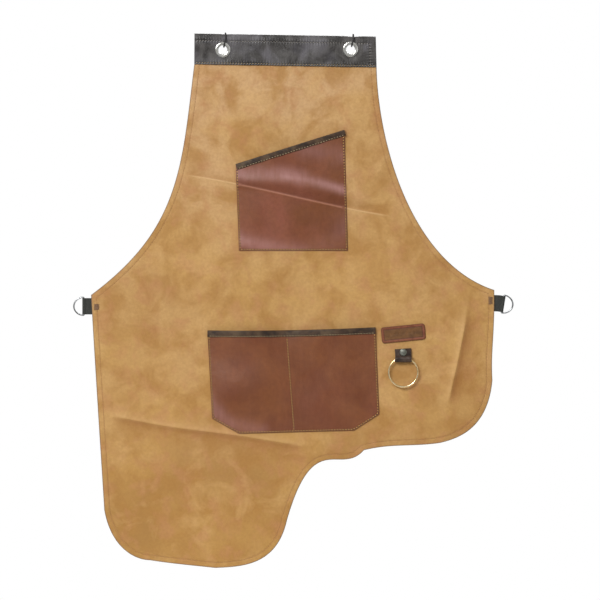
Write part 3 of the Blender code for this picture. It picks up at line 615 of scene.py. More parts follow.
def sway(x, z):
    """The simulated shape at these points, smooth between the grid's."""
    u = (x - SWAY_LOW[0]) / SWAY_STEP
    v = (z - SWAY_LOW[1]) / SWAY_STEP
    column = np.clip(np.floor(u).astype(int), 1, SWAY_COUNT[0] - 3)
    row = np.clip(np.floor(v).astype(int), 1, SWAY_COUNT[1] - 3)
    across, up = cubic_weights(u - column), cubic_weights(v - row)
    found = np.zeros_like(x)
    for i in range(4):
        for j in range(4):
            found += up[i] * across[j] * SWAY[row + i - 1, column + j - 1]
    return found * looseness(x, z) * ease((-0.045 - z) / 0.060)


def smooth_line(points, step=0.003):
    """A smooth line through a few points."""
    given = np.array(points)
    ends = np.concatenate([[2 * given[0] - given[1]], given, [2 * given[-1] - given[-2]]])
    t = np.linspace(0.0, 1.0, 30, endpoint=False)[:, None]
    found = []
    for a, b, c, d in zip(ends, ends[1:], ends[2:], ends[3:]):
        pull = (c - a) * t + (2 * a - 5 * b + 4 * c - d) * t**2 + (3 * b - a - 3 * c + d) * t**3
        found.append(b + 0.5 * pull)
    return resample(np.concatenate([*found, given[-1:]]), step)


def crease_parts(x, z):
    """How far forward the folds lift the leather, how pale the crease line is from wear and a painted
    highlight, and the painted light and painted shade beside it, from -1 for the darkest painted shade.
    """
    points = np.stack([x, z], axis=1)
    lift, wear_and_highlight, painted_light_and_shade = np.zeros_like(x), np.zeros_like(x), np.zeros_like(x)
    for route, height, width, shoulder, side, shade in CREASES:
        line = smooth_line(route)
        distance, along, on_side = nearest(points, line)
        total = lengths_along(line)[-1]
        fade = ease(along / CREASE_FADE) * ease((total - along) / CREASE_FADE)
        fade = fade * ease((width * 12.0 + SHOULDER_RUN - distance) / SHOULDER_RUN)
        ridge = bell(distance, width)
        slope = np.exp(-distance / SHOULDER_RUN)
        beyond = np.exp(-distance / PAINTED_LIGHT_REACH)
        lift += fade * (height * ridge + shoulder * slope * np.where(on_side == side, 1.0, beyond))
        # The crease line is pale partly from wear and partly from a painted highlight on the ridge.
        wear_and_highlight = np.maximum(wear_and_highlight, fade * ridge * min(1.0, (0.0014 / width) ** 2))
        turn = np.tanh(distance / (0.5 * width))
        # Painted light on the fold's pale side, painted shade on its dark side.
        painted_light_and_shade += shade * fade * turn * np.where(on_side == side, beyond, -np.exp(-distance / PAINTED_SHADE_REACH))
    free = clear_of(CREASE_FREE_SPOTS, x, z)
    return lift * free, wear_and_highlight * free, painted_light_and_shade * free


def painted_sheen(x, z):
    """How much painted sheen the leather gets here, 0 to 1."""
    points = np.stack([x, z], axis=1)
    found = np.zeros_like(x)
    for route, width, strength in PAINTED_SHEENS:
        away = nearest(points, smooth_line(route))[0]
        found = np.maximum(found, strength * bell(away, width))
    return found


def middle(x, z):
    """y of the middle of the hanging panel's thickness."""
    return drape(x, z) + sway(x, z) - crease_parts(x, z)[0]


# ---------------------------------------------------------------- sheets of leather


def crease_points(loop, margin):
    """Rows of points that follow the creases, so that the mesh bends along them."""
    rows = []
    for route, _, width, *_ in CREASES:
        if width > WIDEST_SHARP_CREASE:
            continue
        line = smooth_line(route, 0.0024)
        rows += [line + normals(line) * width * share for share in (-1.9, -1.1, -0.5, 0.0, 0.5, 1.1, 1.9)]
    if not rows:
        return np.zeros((0, 2))
    points = np.concatenate(rows)
    return points[inside(points, loop) & (nearest(points, closed(loop))[0] > margin)]


def flat_sheet(outline, holes, rows, spacing):
    """Points and triangles of a flat sheet, with rows of points along its edge and along the creases."""
    border = [offset_line(outline, distance, wrap=True) for distance in rows]
    if holes:
        border = [row[~np.any([inside(row, hole) for hole in holes], axis=0)] for row in border]
    grid = hex_grid(outline, spacing)
    grid = grid[inside(grid, outline)]
    grid = grid[nearest(grid, closed(outline))[0] > rows[-1] + 0.6 * spacing]
    for hole in holes:
        grid = grid[~inside(grid, hole) & (nearest(grid, closed(hole))[0] > 0.7 * spacing)]
    creases = crease_points(outline, rows[-1] + 0.001)
    inner = spread_points(np.concatenate([*border, creases, grid]), LEAST_SPACING)
    return triangulate(outline, holes, inner)


def leather_sheet(name, outline, holes, rows, spacing, surface, half, dent, looks, body):
    """A sheet of leather with a rounded edge, as one closed mesh with a front, a back and a cut edge.

    rows are distances in from the edge where the mesh gets a row of points. surface gives the middle's y
    and dent how far the front is pressed in, from points and their distance to the edge.
    """
    outline = anticlockwise(outline)
    points, faces, counts = flat_sheet(outline, holes, rows, spacing)
    x, z = points.T
    distance = nearest(points, closed(outline))[0]
    rounding = 0.50 + 0.50 * quarter_round(distance / half)
    centre = surface(x, z)
    front = centre - half * rounding + dent(points, distance)
    back = centre + half * rounding
    count = len(points)
    solid = np.concatenate([np.stack([x, front, z], axis=1), np.stack([x, back, z], axis=1)])
    made = [tuple(f) for f in faces] + [tuple(f[::-1] + count) for f in faces]
    indices = [0] * len(faces) + [1] * len(faces)
    first = 0
    for number in counts:
        for i in range(number):
            a, b = first + i, first + (i + 1) % number
            made.append((a, a + count, b + count, b))
            indices.append(2)
        first += number
    piece = new_piece(name, solid, made, looks, body, indices)
    _, wear_and_highlight, painted_light_and_shade = crease_parts(x, z)
    # The crease line's wear and painted highlight, then the painted light and the painted shade beside the
    # folds.
    tones = {"wear_and_highlight": wear_and_highlight, "pale": np.maximum(painted_light_and_shade, 0.0), "dark": np.maximum(-painted_light_and_shade, 0.0)}
    for title, values in {**tones, "painted_sheen": painted_sheen(x, z), "rim": np.exp(-distance / 0.0035)}.items():
        paint(piece, title, np.tile(values, 2))
    return piece


def edge_distances(piece, outline):
    """How far each of a flat piece's vertices lies from the outline in (x, z)."""
    places = np.empty(len(piece.data.vertices) * 3, np.float32)
    piece.data.vertices.foreach_get("co", places)
    return nearest(places.reshape(-1, 3)[:, [0, 2]].astype(float), closed(outline))[0]


def stitch_row(
    name, route, face, look, body, slot, pitch=STITCH_PITCH, share=0.72, radius=0.00032, rise=0.00022,
    behind=False, shift=0.5,
):
    """Thread stitches along a line of (x, z) points. face gives the y of the surface they lie on."""
    at = lengths_along(route)
    count = max(1, int(at[-1] / pitch))
    centres = (np.arange(count) + shift) * at[-1] / count
    half = 0.5 * share * at[-1] / count
    steps = np.array([-1.0, -0.8, -0.35, 0.35, 0.8, 1.0])
    heights = np.array([-0.9, 0.1, 1.0, 1.0, 0.1, -0.9]) * rise
    widths = np.array([0.45, 0.85, 1.0, 1.0, 0.85, 0.45]) * radius
    sides = 6
    where = centres[:, None] + half * steps[None, :]
    x = np.interp(where, at, route[:, 0])
    z = np.interp(where, at, route[:, 1])
    step = 0.0004
    run_x = np.interp(where + step, at, route[:, 0]) - np.interp(where - step, at, route[:, 0])
    run_z = np.interp(where + step, at, route[:, 1]) - np.interp(where - step, at, route[:, 1])
    size = np.hypot(run_x, run_z) + 1e-12
    normal_x, normal_z = -run_z / size, run_x / size
    y = face(x.ravel(), z.ravel()).reshape(x.shape) + heights[None, :] * (1.0 if behind else -1.0)
    turn = whole_turn(sides)
    out = np.cos(turn)[None, None, :] * widths[None, :, None]
    across = np.sin(turn)[None, None, :] * widths[None, :, None]
    x, y, z, normal_x, normal_z = (values[:, :, None] for values in (x, y, z, normal_x, normal_z))
    points = np.stack([x + normal_x * across, y - out, z + normal_z * across], axis=-1).reshape(-1, 3)
    faces = []
    rings = len(steps)
    for s in range(count):
        faces += skin([(s * rings + r, s * rings + r + 1) for r in range(rings - 1)], sides)
        base = s * rings * sides
        faces.append(tuple(base + k for k in range(sides))[::-1])
        faces.append(tuple(base + (rings - 1) * sides + k for k in range(sides)))
    return new_piece(name, points, faces, look, body, smooth_angle=75.0)


def join_pieces(name, pieces):
    """One object from several with the same material."""
    shape = bmesh.new()
    for piece in pieces:
        shape.from_mesh(piece.data)
    keep, *others = pieces
    shape.to_mesh(keep.data)
    shape.free()
    for other in others:
        bpy.data.objects.remove(other)
    keep.name = name
    keep.data.shade_smooth()
    return keep


# ---------------------------------------------------------------- materials


def srgb(red, green, blue):
    values = (v / 255.0 for v in (red, green, blue))
    return (*(v / 12.92 if v <= 0.04045 else ((v + 0.055) / 1.055) ** 2.4 for v in values), 1.0)


class Look:
    """One Principled material, with short ways to add nodes to it. Textures use the object's own metres."""

    def __init__(self, name, **sockets):
        self.material = bpy.data.materials.new(name)
        self.material.use_nodes = True
        self.tree = self.material.node_tree
        self.shader = self.tree.nodes["Principled BSDF"]
        self.place = self.tree.nodes.new("ShaderNodeTexCoord").outputs["Object"]
        for socket, value in sockets.items():
            self.shader.inputs[socket.replace("_", " ")].default_value = value

    def link(self, source, target):
        self.tree.links.new(source, target)

    def set(self, target, value):
        if isinstance(value, bpy.types.NodeSocket):
            self.link(value, target)
        else:
            target.default_value = value

    def node(self, kind, settings=None, **sockets):
        """A new node, with its settings and its sockets' values or links."""
        node = self.tree.nodes.new("ShaderNode" + kind)
        for name, value in (settings or {}).items():
            setattr(node, name, value)
        for name, value in sockets.items():
            self.set(node.inputs[name.replace("_", " ")], value)
        return node

    def scaled(self, factors):
        return self.node("Mapping", Scale=factors, Vector=self.place).outputs["Vector"]

    def moved(self, shift):
        return self.node("Mapping", Location=shift, Vector=self.place).outputs["Vector"]

    def noise(self, scale, detail=3.0, rough=0.5, distortion=0.0, place=None):
        sockets = {"Scale": scale, "Detail": detail, "Roughness": rough, "Distortion": distortion}
        return self.node("TexNoise", Vector=place or self.place, **sockets).outputs["Fac"]

    def cells(self, scale):
        node = self.node("TexVoronoi", {"feature": "DISTANCE_TO_EDGE"}, Scale=scale, Vector=self.place)
        return node.outputs["Distance"]

    def stripes(self, scale, direction="X", distortion=0.0):
        sockets = {"Scale": scale, "Distortion": distortion, "Vector": self.place}
        return self.node("TexWave", {"bands_direction": direction}, **sockets).outputs["Fac"]

    def height(self):
        return self.node("SeparateXYZ", Vector=self.place).outputs["Z"]

    def attribute(self, name):
        return self.node("Attribute", {"attribute_name": name}).outputs["Fac"]

    def span(self, source, low, high, out_low=0.0, out_high=1.0):
        """source from low..high to out_low..out_high, clamped."""
        sockets = {"From Min": low, "From Max": high, "To Min": out_low, "To Max": out_high, "Value": source}
        return self.node("MapRange", **sockets).outputs["Result"]

    def times(self, a, b):
        node = self.tree.nodes.new("ShaderNodeMath")
        node.operation = "MULTIPLY"
        self.set(node.inputs[0], a)
        self.set(node.inputs[1], b)
        return node.outputs["Value"]

    def mix(self, share, a, b):
        node = self.tree.nodes.new("ShaderNodeMix")
        node.data_type = "RGBA"
        for socket, value in zip((0, 6, 7), (share, a, b)):
            self.set(node.inputs[socket], value)
        return node.outputs[2]

    def layers(self, colour, *shades):
        """The colour with each (share, red, green, blue) laid over it in turn."""
        for share, *shade in shades:
            colour = self.mix(share, colour, srgb(*shade))
        return colour

    def painted(self, name, strength):
        return self.times(self.attribute(name), strength)

    def bump(self, height, depth, under=None):
        node = self.node("Bump", Distance=depth, Height=height)
        if under is not None:
            self.link(under, node.inputs["Normal"])
        return node.outputs["Normal"]

    def finish(self, colour=None, roughness=None, normal=None):
        if colour is not None:
            self.set(self.shader.inputs["Base Color"], colour)
        if roughness is not None:
            self.set(self.shader.inputs["Roughness"], roughness)
        if normal is not None:
            self.link(normal, self.shader.inputs["Normal"])
        return self.material


def tan_front():
    """The panel's face: waxed split leather with golden, brown and pinkish clouds, painted lighter towards
    the top, with painted light and shade beside its folds and crease lines pale from wear and a painted
    highlight.
    """
    look = Look("tan_leather_front", Specular_IOR_Level=0.30)
    height = look.height()
    broad = look.noise(7.0, 3.0, 0.5, 0.5, look.moved((3.1, 0.0, 1.7)))
    clouds = look.noise(24.0, 4.0, 0.55, 0.6)
    spots = look.noise(34.0, 3.0, 0.55, 0.4, look.moved((-2.3, 0.0, 5.2)))
    light = look.noise(20.0, 4.0, 0.6, 0.5, look.moved((1.9, 0.0, -4.4)))
    specks = look.noise(240.0, 3.0, 0.6)
    colour = look.layers(
        srgb(166, 123, 64),
        # Painted light: the panel is lighter towards its top, where more light falls, and darker towards the
        # hem.
        (look.span(height, -0.66, -0.50), 192, 150, 94),
        (look.span(height, -0.36, -0.06), 204, 164, 117),
        (look.span(broad, 0.42, 0.62, 0.0, 0.55), 194, 150, 82),
        (look.span(clouds, 0.42, 0.62, 0.0, 0.72), 168, 121, 62),
        (look.span(spots, 0.50, 0.66, 0.0, 0.52), 184, 130, 86),
        (look.span(light, 0.50, 0.68, 0.0, 0.52), 206, 164, 106),
        (look.span(specks, 0.35, 0.65, 0.20, 0.0), 142, 98, 52),
        # Painted shade and painted light beside the folds.
        (look.painted("dark", 0.62), 146, 92, 42),
        (look.painted("pale", 0.40), 212, 170, 116),
        # The crease lines: pale from wear and from a painted highlight on the ridge.
        (look.painted("wear_and_highlight", 0.50), 226, 186, 134),
        (look.painted("seam", 0.14), 150, 100, 60),
        (look.span(look.attribute("rim"), 0.62, 0.88, 0.0, 0.78), 112, 92, 76),
    )
    grain = look.bump(look.noise(950.0, 3.0, 0.6), 0.00007)
    pores = look.bump(look.span(look.cells(520.0), 0.0, 0.25), 0.00005, grain)
    soft = look.bump(look.noise(90.0, 4.0, 0.55), 0.00050, pores)
    rough = look.span(look.noise(24.0, 4.0, 0.6), 0.35, 0.65, 0.56, 0.74)
    return look.finish(colour, rough, soft)


def suede_back(name, pale, dark):
    """The flesh side of a leather: matt, fibrous and a little uneven."""
    look = Look(name, Specular_IOR_Level=0.15, Sheen_Weight=0.15)
    colour = look.mix(look.span(look.noise(12.0, 5.0, 0.6, 0.5), 0.35, 0.65), dark, pale)
    fibre = look.noise(1.0, 5.0, 0.7, 0.6, look.scaled((700.0, 700.0, 260.0)))
    colour = look.mix(look.span(fibre, 0.30, 0.70, 0.25, 0.0), colour, dark)
    nap = look.bump(fibre, 0.00018)
    uneven = look.bump(look.noise(60.0, 4.0, 0.6), 0.0006, nap)
    return look.finish(colour, 0.93, uneven)


def cut_edge(name, colour):
    look = Look(name, Specular_IOR_Level=0.2)
    layers = look.noise(1.0, 3.0, 0.6, 0.0, look.scaled((300.0, 3500.0, 300.0)))
    shade = look.mix(look.span(layers, 0.35, 0.65, 0.0, 0.5), colour, srgb(96, 78, 62))
    return look.finish(shade, 0.85, look.bump(layers, 0.0001))


def pocket_front(name, rosiness):
    """Oiled pull-up leather: reddish brown, darker and paler in clouds, with a painted sheen along its rolls,
    painted shade beside its folds, and crease lines pale from wear and a painted highlight.
    """
    look = Look(name, Specular_IOR_Level=0.40, Coat_Weight=0.10, Coat_Roughness=0.30)
    clouds = look.noise(16.0, 4.0, 0.5, 0.8)
    rosy = look.noise(12.0, 3.0, 0.5, 0.5, look.moved((1.3, 0.0, -2.1)))
    streaks = look.noise(1.0, 4.0, 0.6, 0.5, look.scaled((150.0, 150.0, 30.0)))
    fine = look.noise(190.0, 3.0, 0.6)
    # Noise that breaks up the painted sheen into streaks.
    sheen_breakup = look.times(look.span(clouds, 0.30, 0.62, 1.0, 0.62), look.span(streaks, 0.30, 0.64, 0.62, 1.0))
    colour = look.layers(
        srgb(108, 57, 29),
        (look.span(clouds, 0.36, 0.64), 124, 72, 38),
        (look.span(rosy, 0.40, 0.66, 0.0, rosiness), 140, 80, 60),
        (look.span(streaks, 0.40, 0.70, 0.0, 0.22), 136, 80, 50),
        (look.span(fine, 0.35, 0.60, 0.20, 0.0), 92, 50, 30),
        # Painted shade beside the folds.
        (look.painted("dark", 0.90), 98, 42, 24),
        # Painted sheen: a painted reflection along the leather's rolls.
        (look.times(look.attribute("painted_sheen"), sheen_breakup), 172, 125, 119),
        # The crease lines: pale from wear and from a painted highlight.
        (look.painted("wear_and_highlight", 0.48), 202, 142, 116),
        (look.span(look.attribute("rim"), 0.40, 0.90, 0.0, 0.40), 96, 50, 34),
    )
    grain = look.bump(look.span(look.cells(430.0), 0.0, 0.22), 0.00005)
    soft = look.bump(look.noise(70.0, 4.0, 0.55), 0.00045, grain)
    rough = look.span(look.noise(30.0, 4.0, 0.6), 0.35, 0.65, 0.36, 0.52)
    return look.finish(colour, rough, soft)


def smooth_leather(name, dark, pale, tint, rough_low, rough_high, scale=28.0, ribbed=False):
    """Dyed finished leather: fine pebbled grain, cloudy colour, paler along its rim."""
    look = Look(name, Specular_IOR_Level=0.35)
    clouds = look.noise(scale, 4.0, 0.6, 0.8)
    colour = look.mix(look.span(clouds, 0.38, 0.62), dark, pale)
    # Patches of the tint colour: the leather's own colour, and on the band a painted reflection.
    patches = look.noise(0.6 * scale, 3.0, 0.5, 0.8, look.moved((0.9, 0.0, 2.6)))
    colour = look.mix(look.span(patches, 0.50, 0.66, 0.0, 0.75), colour, tint)
    colour = look.mix(look.painted("rim", 0.30), colour, pale)
    colour = look.mix(look.painted("seam", 0.60), colour, dark)
    grain = look.bump(look.span(look.cells(560.0), 0.0, 0.25), 0.00006)
    if ribbed:
        ribs = look.noise(1.0, 2.0, 0.5, 0.0, look.scaled((620.0, 1.0, 40.0)))
        colour = look.mix(look.span(ribs, 0.35, 0.65, 0.30, 0.0), colour, dark)
        grain = look.bump(ribs, 0.00014, grain)
    soft = look.bump(look.noise(80.0, 4.0, 0.6), 0.00045, grain)
    rough = look.span(look.noise(40.0, 4.0, 0.6), 0.35, 0.65, rough_low, rough_high)
    return look.finish(colour, rough, soft)


def patch_front():
    """Tooled vegetable-tanned leather: a reddish border, a browner field and a dark pressed line between."""
    look = Look("patch_leather", Specular_IOR_Level=0.35)
    clouds = look.noise(70.0, 4.0, 0.6, 0.6)
    border = look.mix(look.span(clouds, 0.38, 0.62), srgb(112, 60, 36), srgb(134, 78, 52))
    field = look.mix(look.span(clouds, 0.38, 0.62), srgb(94, 62, 32), srgb(116, 78, 42))
    colour = look.mix(look.attribute("field"), border, field)
    rim = look.span(look.attribute("rim"), 0.62, 0.90, 0.0, 0.65)
    colour = look.layers(colour, (look.painted("seam", 0.75), 66, 38, 24), (rim, 84, 46, 30))
    grain = look.bump(look.span(look.cells(900.0), 0.0, 0.25), 0.00005)
    soft = look.bump(look.noise(240.0, 4.0, 0.6), 0.00018, grain)
    return look.finish(colour, look.span(look.noise(60.0, 3.0, 0.6), 0.35, 0.65, 0.42, 0.58), soft)


def polished_metal(name, colour, tarnish, rough_low, rough_high):
    look = Look(name, Metallic=1.0)
    clouds = look.noise(160.0, 3.0, 0.6)
    shade = look.mix(look.span(clouds, 0.42, 0.66), colour, tarnish)
    rough = look.span(look.noise(420.0, 3.0, 0.6), 0.35, 0.65, rough_low, rough_high)
    return look.finish(shade, rough, look.bump(look.noise(260.0, 2.0, 0.5), 0.000012))


def woven(name, dark, pale):
    """Flat webbing: ribs along its length and a cross thread."""
    look = Look(name, Specular_IOR_Level=0.3, Sheen_Weight=0.2)
    along = look.stripes(190.0, "X", 0.4)
    across = look.stripes(190.0, "Z", 0.4)
    weave = look.times(along, across)
    fuzz = look.noise(1500.0, 2.0, 0.6)
    colour = look.mix(look.span(weave, 0.1, 0.7), dark, pale)
    colour = look.mix(look.span(fuzz, 0.45, 0.70, 0.0, 0.3), colour, srgb(110, 108, 98))
    normal = look.bump(fuzz, 0.00006, look.bump(weave, 0.0002))
    return look.finish(colour, 0.82, normal)


def thread(name, colour, dark):
    look = Look(name, Specular_IOR_Level=0.4, Sheen_Weight=0.15)
    twist = look.noise(2600.0, 2.0, 0.6)
    shade = look.mix(look.span(twist, 0.40, 0.62), dark, colour)
    return look.finish(shade, 0.62, look.bump(twist, 0.00006))


def waxed_cord():
    look = Look("black_waxed_cord", Specular_IOR_Level=0.5)
    strands = look.stripes(420.0, "DIAGONAL", 1.5)
    colour = look.mix(look.span(strands, 0.2, 0.8), srgb(16, 15, 15), srgb(48, 45, 44))
    return look.finish(colour, 0.48, look.bump(strands, 0.00012))


def make_looks():
    edge_tan = cut_edge("tan_cut_edge", srgb(128, 104, 80))
    edge_dark = cut_edge("dark_cut_edge", srgb(66, 48, 38))
    edge_red = cut_edge("red_brown_cut_edge", srgb(112, 68, 48))
    pocket_back = suede_back("pocket_suede_back", srgb(140, 96, 74), srgb(112, 70, 52))
    # The band's third colour, laid in patches, is a painted reflection: the bluish grey its gloss would
    # mirror.
    band = (srgb(40, 37, 35), srgb(90, 87, 85), srgb(110, 107, 112))
    binding_tones = (srgb(42, 28, 17), srgb(74, 53, 35), srgb(92, 73, 52))
    tab_tones = (srgb(36, 24, 18), srgb(66, 49, 40), srgb(84, 69, 59))
    return {
        "panel": [
            tan_front(), suede_back("tan_suede_back", srgb(200, 164, 120), srgb(170, 132, 90)), edge_tan
        ],
        "chest_pocket": [pocket_front("chest_pocket_front", 0.85), pocket_back, edge_red],
        "lower_pocket": [pocket_front("lower_pocket_front", 0.18), pocket_back, edge_red],
        "band": [smooth_leather("band_leather", *band, 0.28, 0.44, 34.0, True)],
        "binding": [smooth_leather("binding_leather", *binding_tones, 0.44, 0.62, 80.0)],
        "patch": [
            patch_front(), suede_back("patch_suede_back", srgb(130, 92, 66), srgb(104, 70, 48)), edge_dark
        ],
        "tab": [smooth_leather("tab_leather", *tab_tones, 0.34, 0.50, 90.0)],
        "nickel": polished_metal("polished_nickel", srgb(232, 231, 226), srgb(206, 204, 196), 0.12, 0.24),
        "ring": polished_metal("warm_nickel", srgb(250, 232, 190), srgb(226, 200, 146), 0.14, 0.24),
        "steel": polished_metal("grey_plated_steel", srgb(176, 178, 180), srgb(138, 140, 140), 0.24, 0.36),
        "gunmetal": polished_metal("gunmetal", srgb(152, 154, 144), srgb(112, 112, 100), 0.28, 0.42),
        "webbing": woven("black_webbing", srgb(30, 32, 31), srgb(76, 78, 75)),
        "cord": waxed_cord(),
        "gold_thread": thread("gold_thread", srgb(236, 194, 116), srgb(196, 148, 76)),
        # Painted shade: dark thread laid between the pocket stitches stands for the shade in the needle
        # holes.
        "dark_thread": thread("needle_hole_shade", srgb(52, 30, 20), srgb(34, 20, 14)),
        "pale_thread": thread("pale_thread", srgb(206, 186, 148), srgb(150, 126, 92)),
        "brown_thread": thread("brown_thread", srgb(188, 142, 90), srgb(156, 110, 66)),
        "tack_thread": thread("tack_thread", srgb(146, 110, 80), srgb(108, 80, 54)),
        "grey_thread": thread("grey_thread", srgb(176, 170, 162), srgb(118, 110, 104)),
    }


# ---------------------------------------------------------------- panel, pockets, patch


def eyelet_centre(side):
    return np.array([side * EYELET_X, side * EYELET_RISE])


def eyelet_holes():
    return [circle(eyelet_centre(side), EYELET_HOLE_RADIUS, HOLE_SIDES) for side in (-1, 1)]


def body_panel(looks):
    outline = panel_outline()
    holes = [*eyelet_holes(), circle((RIVET_X, RIVET_Z), RIVET_HOLE, 20)]
    rows = [*PANEL_ROWS, *(HEM_DISTANCE + distance for distance in PANEL_GROOVE_ROWS), PANEL_LAST_ROW]

    def dent(points, distance):
        return HEM_GROOVE * bell(distance - HEM_DISTANCE, 0.0007) - 0.00015 * bell(distance - 0.0040, 0.0022)

    piece = leather_sheet(
        "leather_panel", outline, holes, rows, GRID_STEP, middle, PANEL_THICKNESS / 2.0, dent, looks["panel"],
        "apron",
    )
    paint(piece, "seam", bell(edge_distances(piece, outline) - HEM_DISTANCE, 0.0009))
    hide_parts("body_panel")

    route = offset_line(outline, HEM_DISTANCE, wrap=True)
    route = route[route[:, 1] < HEM_STITCHES_TOP]
    front = lambda x, z: middle(x, z) - PANEL_THICKNESS / 2.0 + HEM_THREAD_SINK
    threads = [
        stitch_row("hem_stitches", route, front, looks["brown_thread"], "apron", "suede", radius=0.00028),
        back_stitches("hem_back_stitches", route, looks),
    ]


def back_stitches(name, route, looks):
    """The same seam where it comes out on the panel's back."""
    face = lambda x, z: middle(x, z) + PANEL_THICKNESS / 2.0 - BACK_THREAD_SINK
    return stitch_row(name, route, face, looks["brown_thread"], "apron", "suede", share=0.66, behind=True)


def bulge_shape(across, down):
    across = np.clip(across, 0.0, 1.0)
    down = np.clip(down, 0.0, 1.0)
    return (4.0 * across * (1.0 - across)) ** 2 * (1.0 - down * down)


def seat_offset(depth):
    sewn = (PANEL_THICKNESS + POCKET_THICKNESS) / 2.0 + LAYER_GAP
    room = BINDING_THICKNESS + BINDING_GAP + LAYER_GAP
    return sewn + room * (1.0 - ease(depth / MOUTH_ROOM_DEPTH))


def chest_offset(x, z):
    top = line_at(CHEST_TOP_LEFT, CHEST_TOP_RIGHT, x, 0)
    left = line_at(CHEST_TOP_LEFT, CHEST_BOTTOM_LEFT, z, 1)
    right = line_at(CHEST_TOP_RIGHT, CHEST_BOTTOM_RIGHT, z, 1)
    down = (top - z) / (top - CHEST_BOTTOM_LEFT[1])
    return seat_offset(top - z) + CHEST_BULGE * bulge_shape((x - left) / (right - left), down)


def lower_top(x):
    centre = (LOWER_TOP_LEFT[0] + LOWER_TOP_RIGHT[0]) / 2.0
    half = (LOWER_TOP_RIGHT[0] - LOWER_TOP_LEFT[0]) / 2.0
    sag = LOWER_SAG * np.maximum(0.0, 1.0 - ((x - centre) / half) ** 2)
    return line_at(LOWER_TOP_LEFT, LOWER_TOP_RIGHT, x, 0) - sag


def lower_foot(x):
    low = line_at(LOWER_FOOT_LEFT, LOWER_FOOT_RIGHT, x, 0)
    low = np.where(x < LOWER_FOOT_LEFT[0], line_at(LOWER_SIDE_LEFT, LOWER_FOOT_LEFT, x, 0), low)
    return np.where(x > LOWER_FOOT_RIGHT[0], line_at(LOWER_FOOT_RIGHT, LOWER_SIDE_RIGHT, x, 0), low)


def lower_offset(x, z):
    top = lower_top(x)
    left = line_at(LOWER_TOP_LEFT, LOWER_SIDE_LEFT, z, 1)
    right = line_at(LOWER_TOP_RIGHT, LOWER_SIDE_RIGHT, z, 1)
    divider = line_at(DIVIDER_TOP, DIVIDER_FOOT, z, 1)
    low = np.where(x < divider, left, divider)
    high = np.where(x < divider, divider, right)
    down = (top - z) / (top - lower_foot(x))
    return seat_offset(top - z) + LOWER_BULGE * bulge_shape((x - low) / (high - low), down)


POCKET_SEAM = 0.0018


def open_line(corners, step=EDGE_STEP):
    return np.concatenate([*(bezier(a, None, b, step) for a, b in zip(corners, corners[1:])), [corners[-1]]])


def pocket(name, node, outline, sewn, seams, mouth, depth, offset, looks):
    """A pocket with its binding and stitches. sewn is its sewn edge and seams are lines sewn across it."""
    half = POCKET_THICKNESS / 2.0
    edge = open_line(sewn)

    def surface(x, z):
        return middle(x, z) - offset(x, z)

    def dent(points, distance):
        away, along, _ = nearest(points, edge)
        pressed = POCKET_PRESS * bell(away - POCKET_SEAM, 0.0007)
        pucker = POCKET_PUCKER_DEPTH * np.sin(2.0 * np.pi * along / POCKET_PUCKER_LENGTH)
        pucker = pucker * bell(away - 0.0045, 0.0030)
        for seam in seams:
            pressed = np.maximum(pressed, DIVIDER_PRESS * bell(nearest(points, seam)[0], 0.0010))
        return pressed + pucker

    piece = leather_sheet(
        name, outline, [], POCKET_ROWS, POCKET_GRID_STEP, surface, half, dent, looks[node], "apron"
    )
    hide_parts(node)
    routes = [(offset_line(edge, POCKET_SEAM), f"{name}_stitches")]
    routes += [(seam, f"{name}_divider_stitches") for seam in seams]
    for route, title in routes:
        face = lambda x, z: surface(x, z) - half + THREAD_SINK
        for ending, look, *sizes in (
            ("", "gold_thread", 0.56, 0.00058, 0.00036, False, 0.5),
            # Dark thread between the stitches: painted shade in the needle holes.
            ("_holes", "dark_thread", 0.38, 0.00066, 0.00005, False, 0.0),
        ):
            sewing = (route, face, looks[look], "apron", "pocket", STITCH_PITCH)
            stitch_row(title + ending, *sewing, *sizes)
        back_stitches(f"{title}_behind", route, looks)
    strip = binding(f"{name}_binding_strip", f"{node}_binding", mouth, depth, offset, looks)


def binding_section(depth):
    """The strip's section as (height over the mouth, y) points: its outside, and its lining."""
    inner = POCKET_THICKNESS / 2.0 + BINDING_GAP
    turn = np.linspace(-math.pi / 2.0, math.pi / 2.0, 11)
    rise = BINDING_GAP + BINDING_THICKNESS
    fold_out = [(rise * math.cos(a), (inner + BINDING_THICKNESS) * math.sin(a)) for a in turn]
    fold_in = [(BINDING_GAP * math.cos(a), inner * math.sin(a)) for a in turn]
    skirt = [-depth, -depth + 0.00015, -depth + 0.0005, -0.70 * depth, -0.45 * depth, -0.20 * depth]
    plump = [0.50, 0.80, 1.0, 1.06, 1.06, 1.0]
    back = [s + 0.0015 if s < -0.5 * depth else s for s in skirt]
    front_out = [(h, -(inner + BINDING_THICKNESS * p)) for h, p in zip(skirt, plump)]
    front_in = [(h, -inner) for h in skirt]
    back_out = [(h, inner + BINDING_THICKNESS * min(p, 1.0)) for h, p in zip(back, plump)][::-1]
    back_in = [(h, inner) for h in back][::-1]
    return front_out + fold_out + back_out, front_in + fold_in + back_in


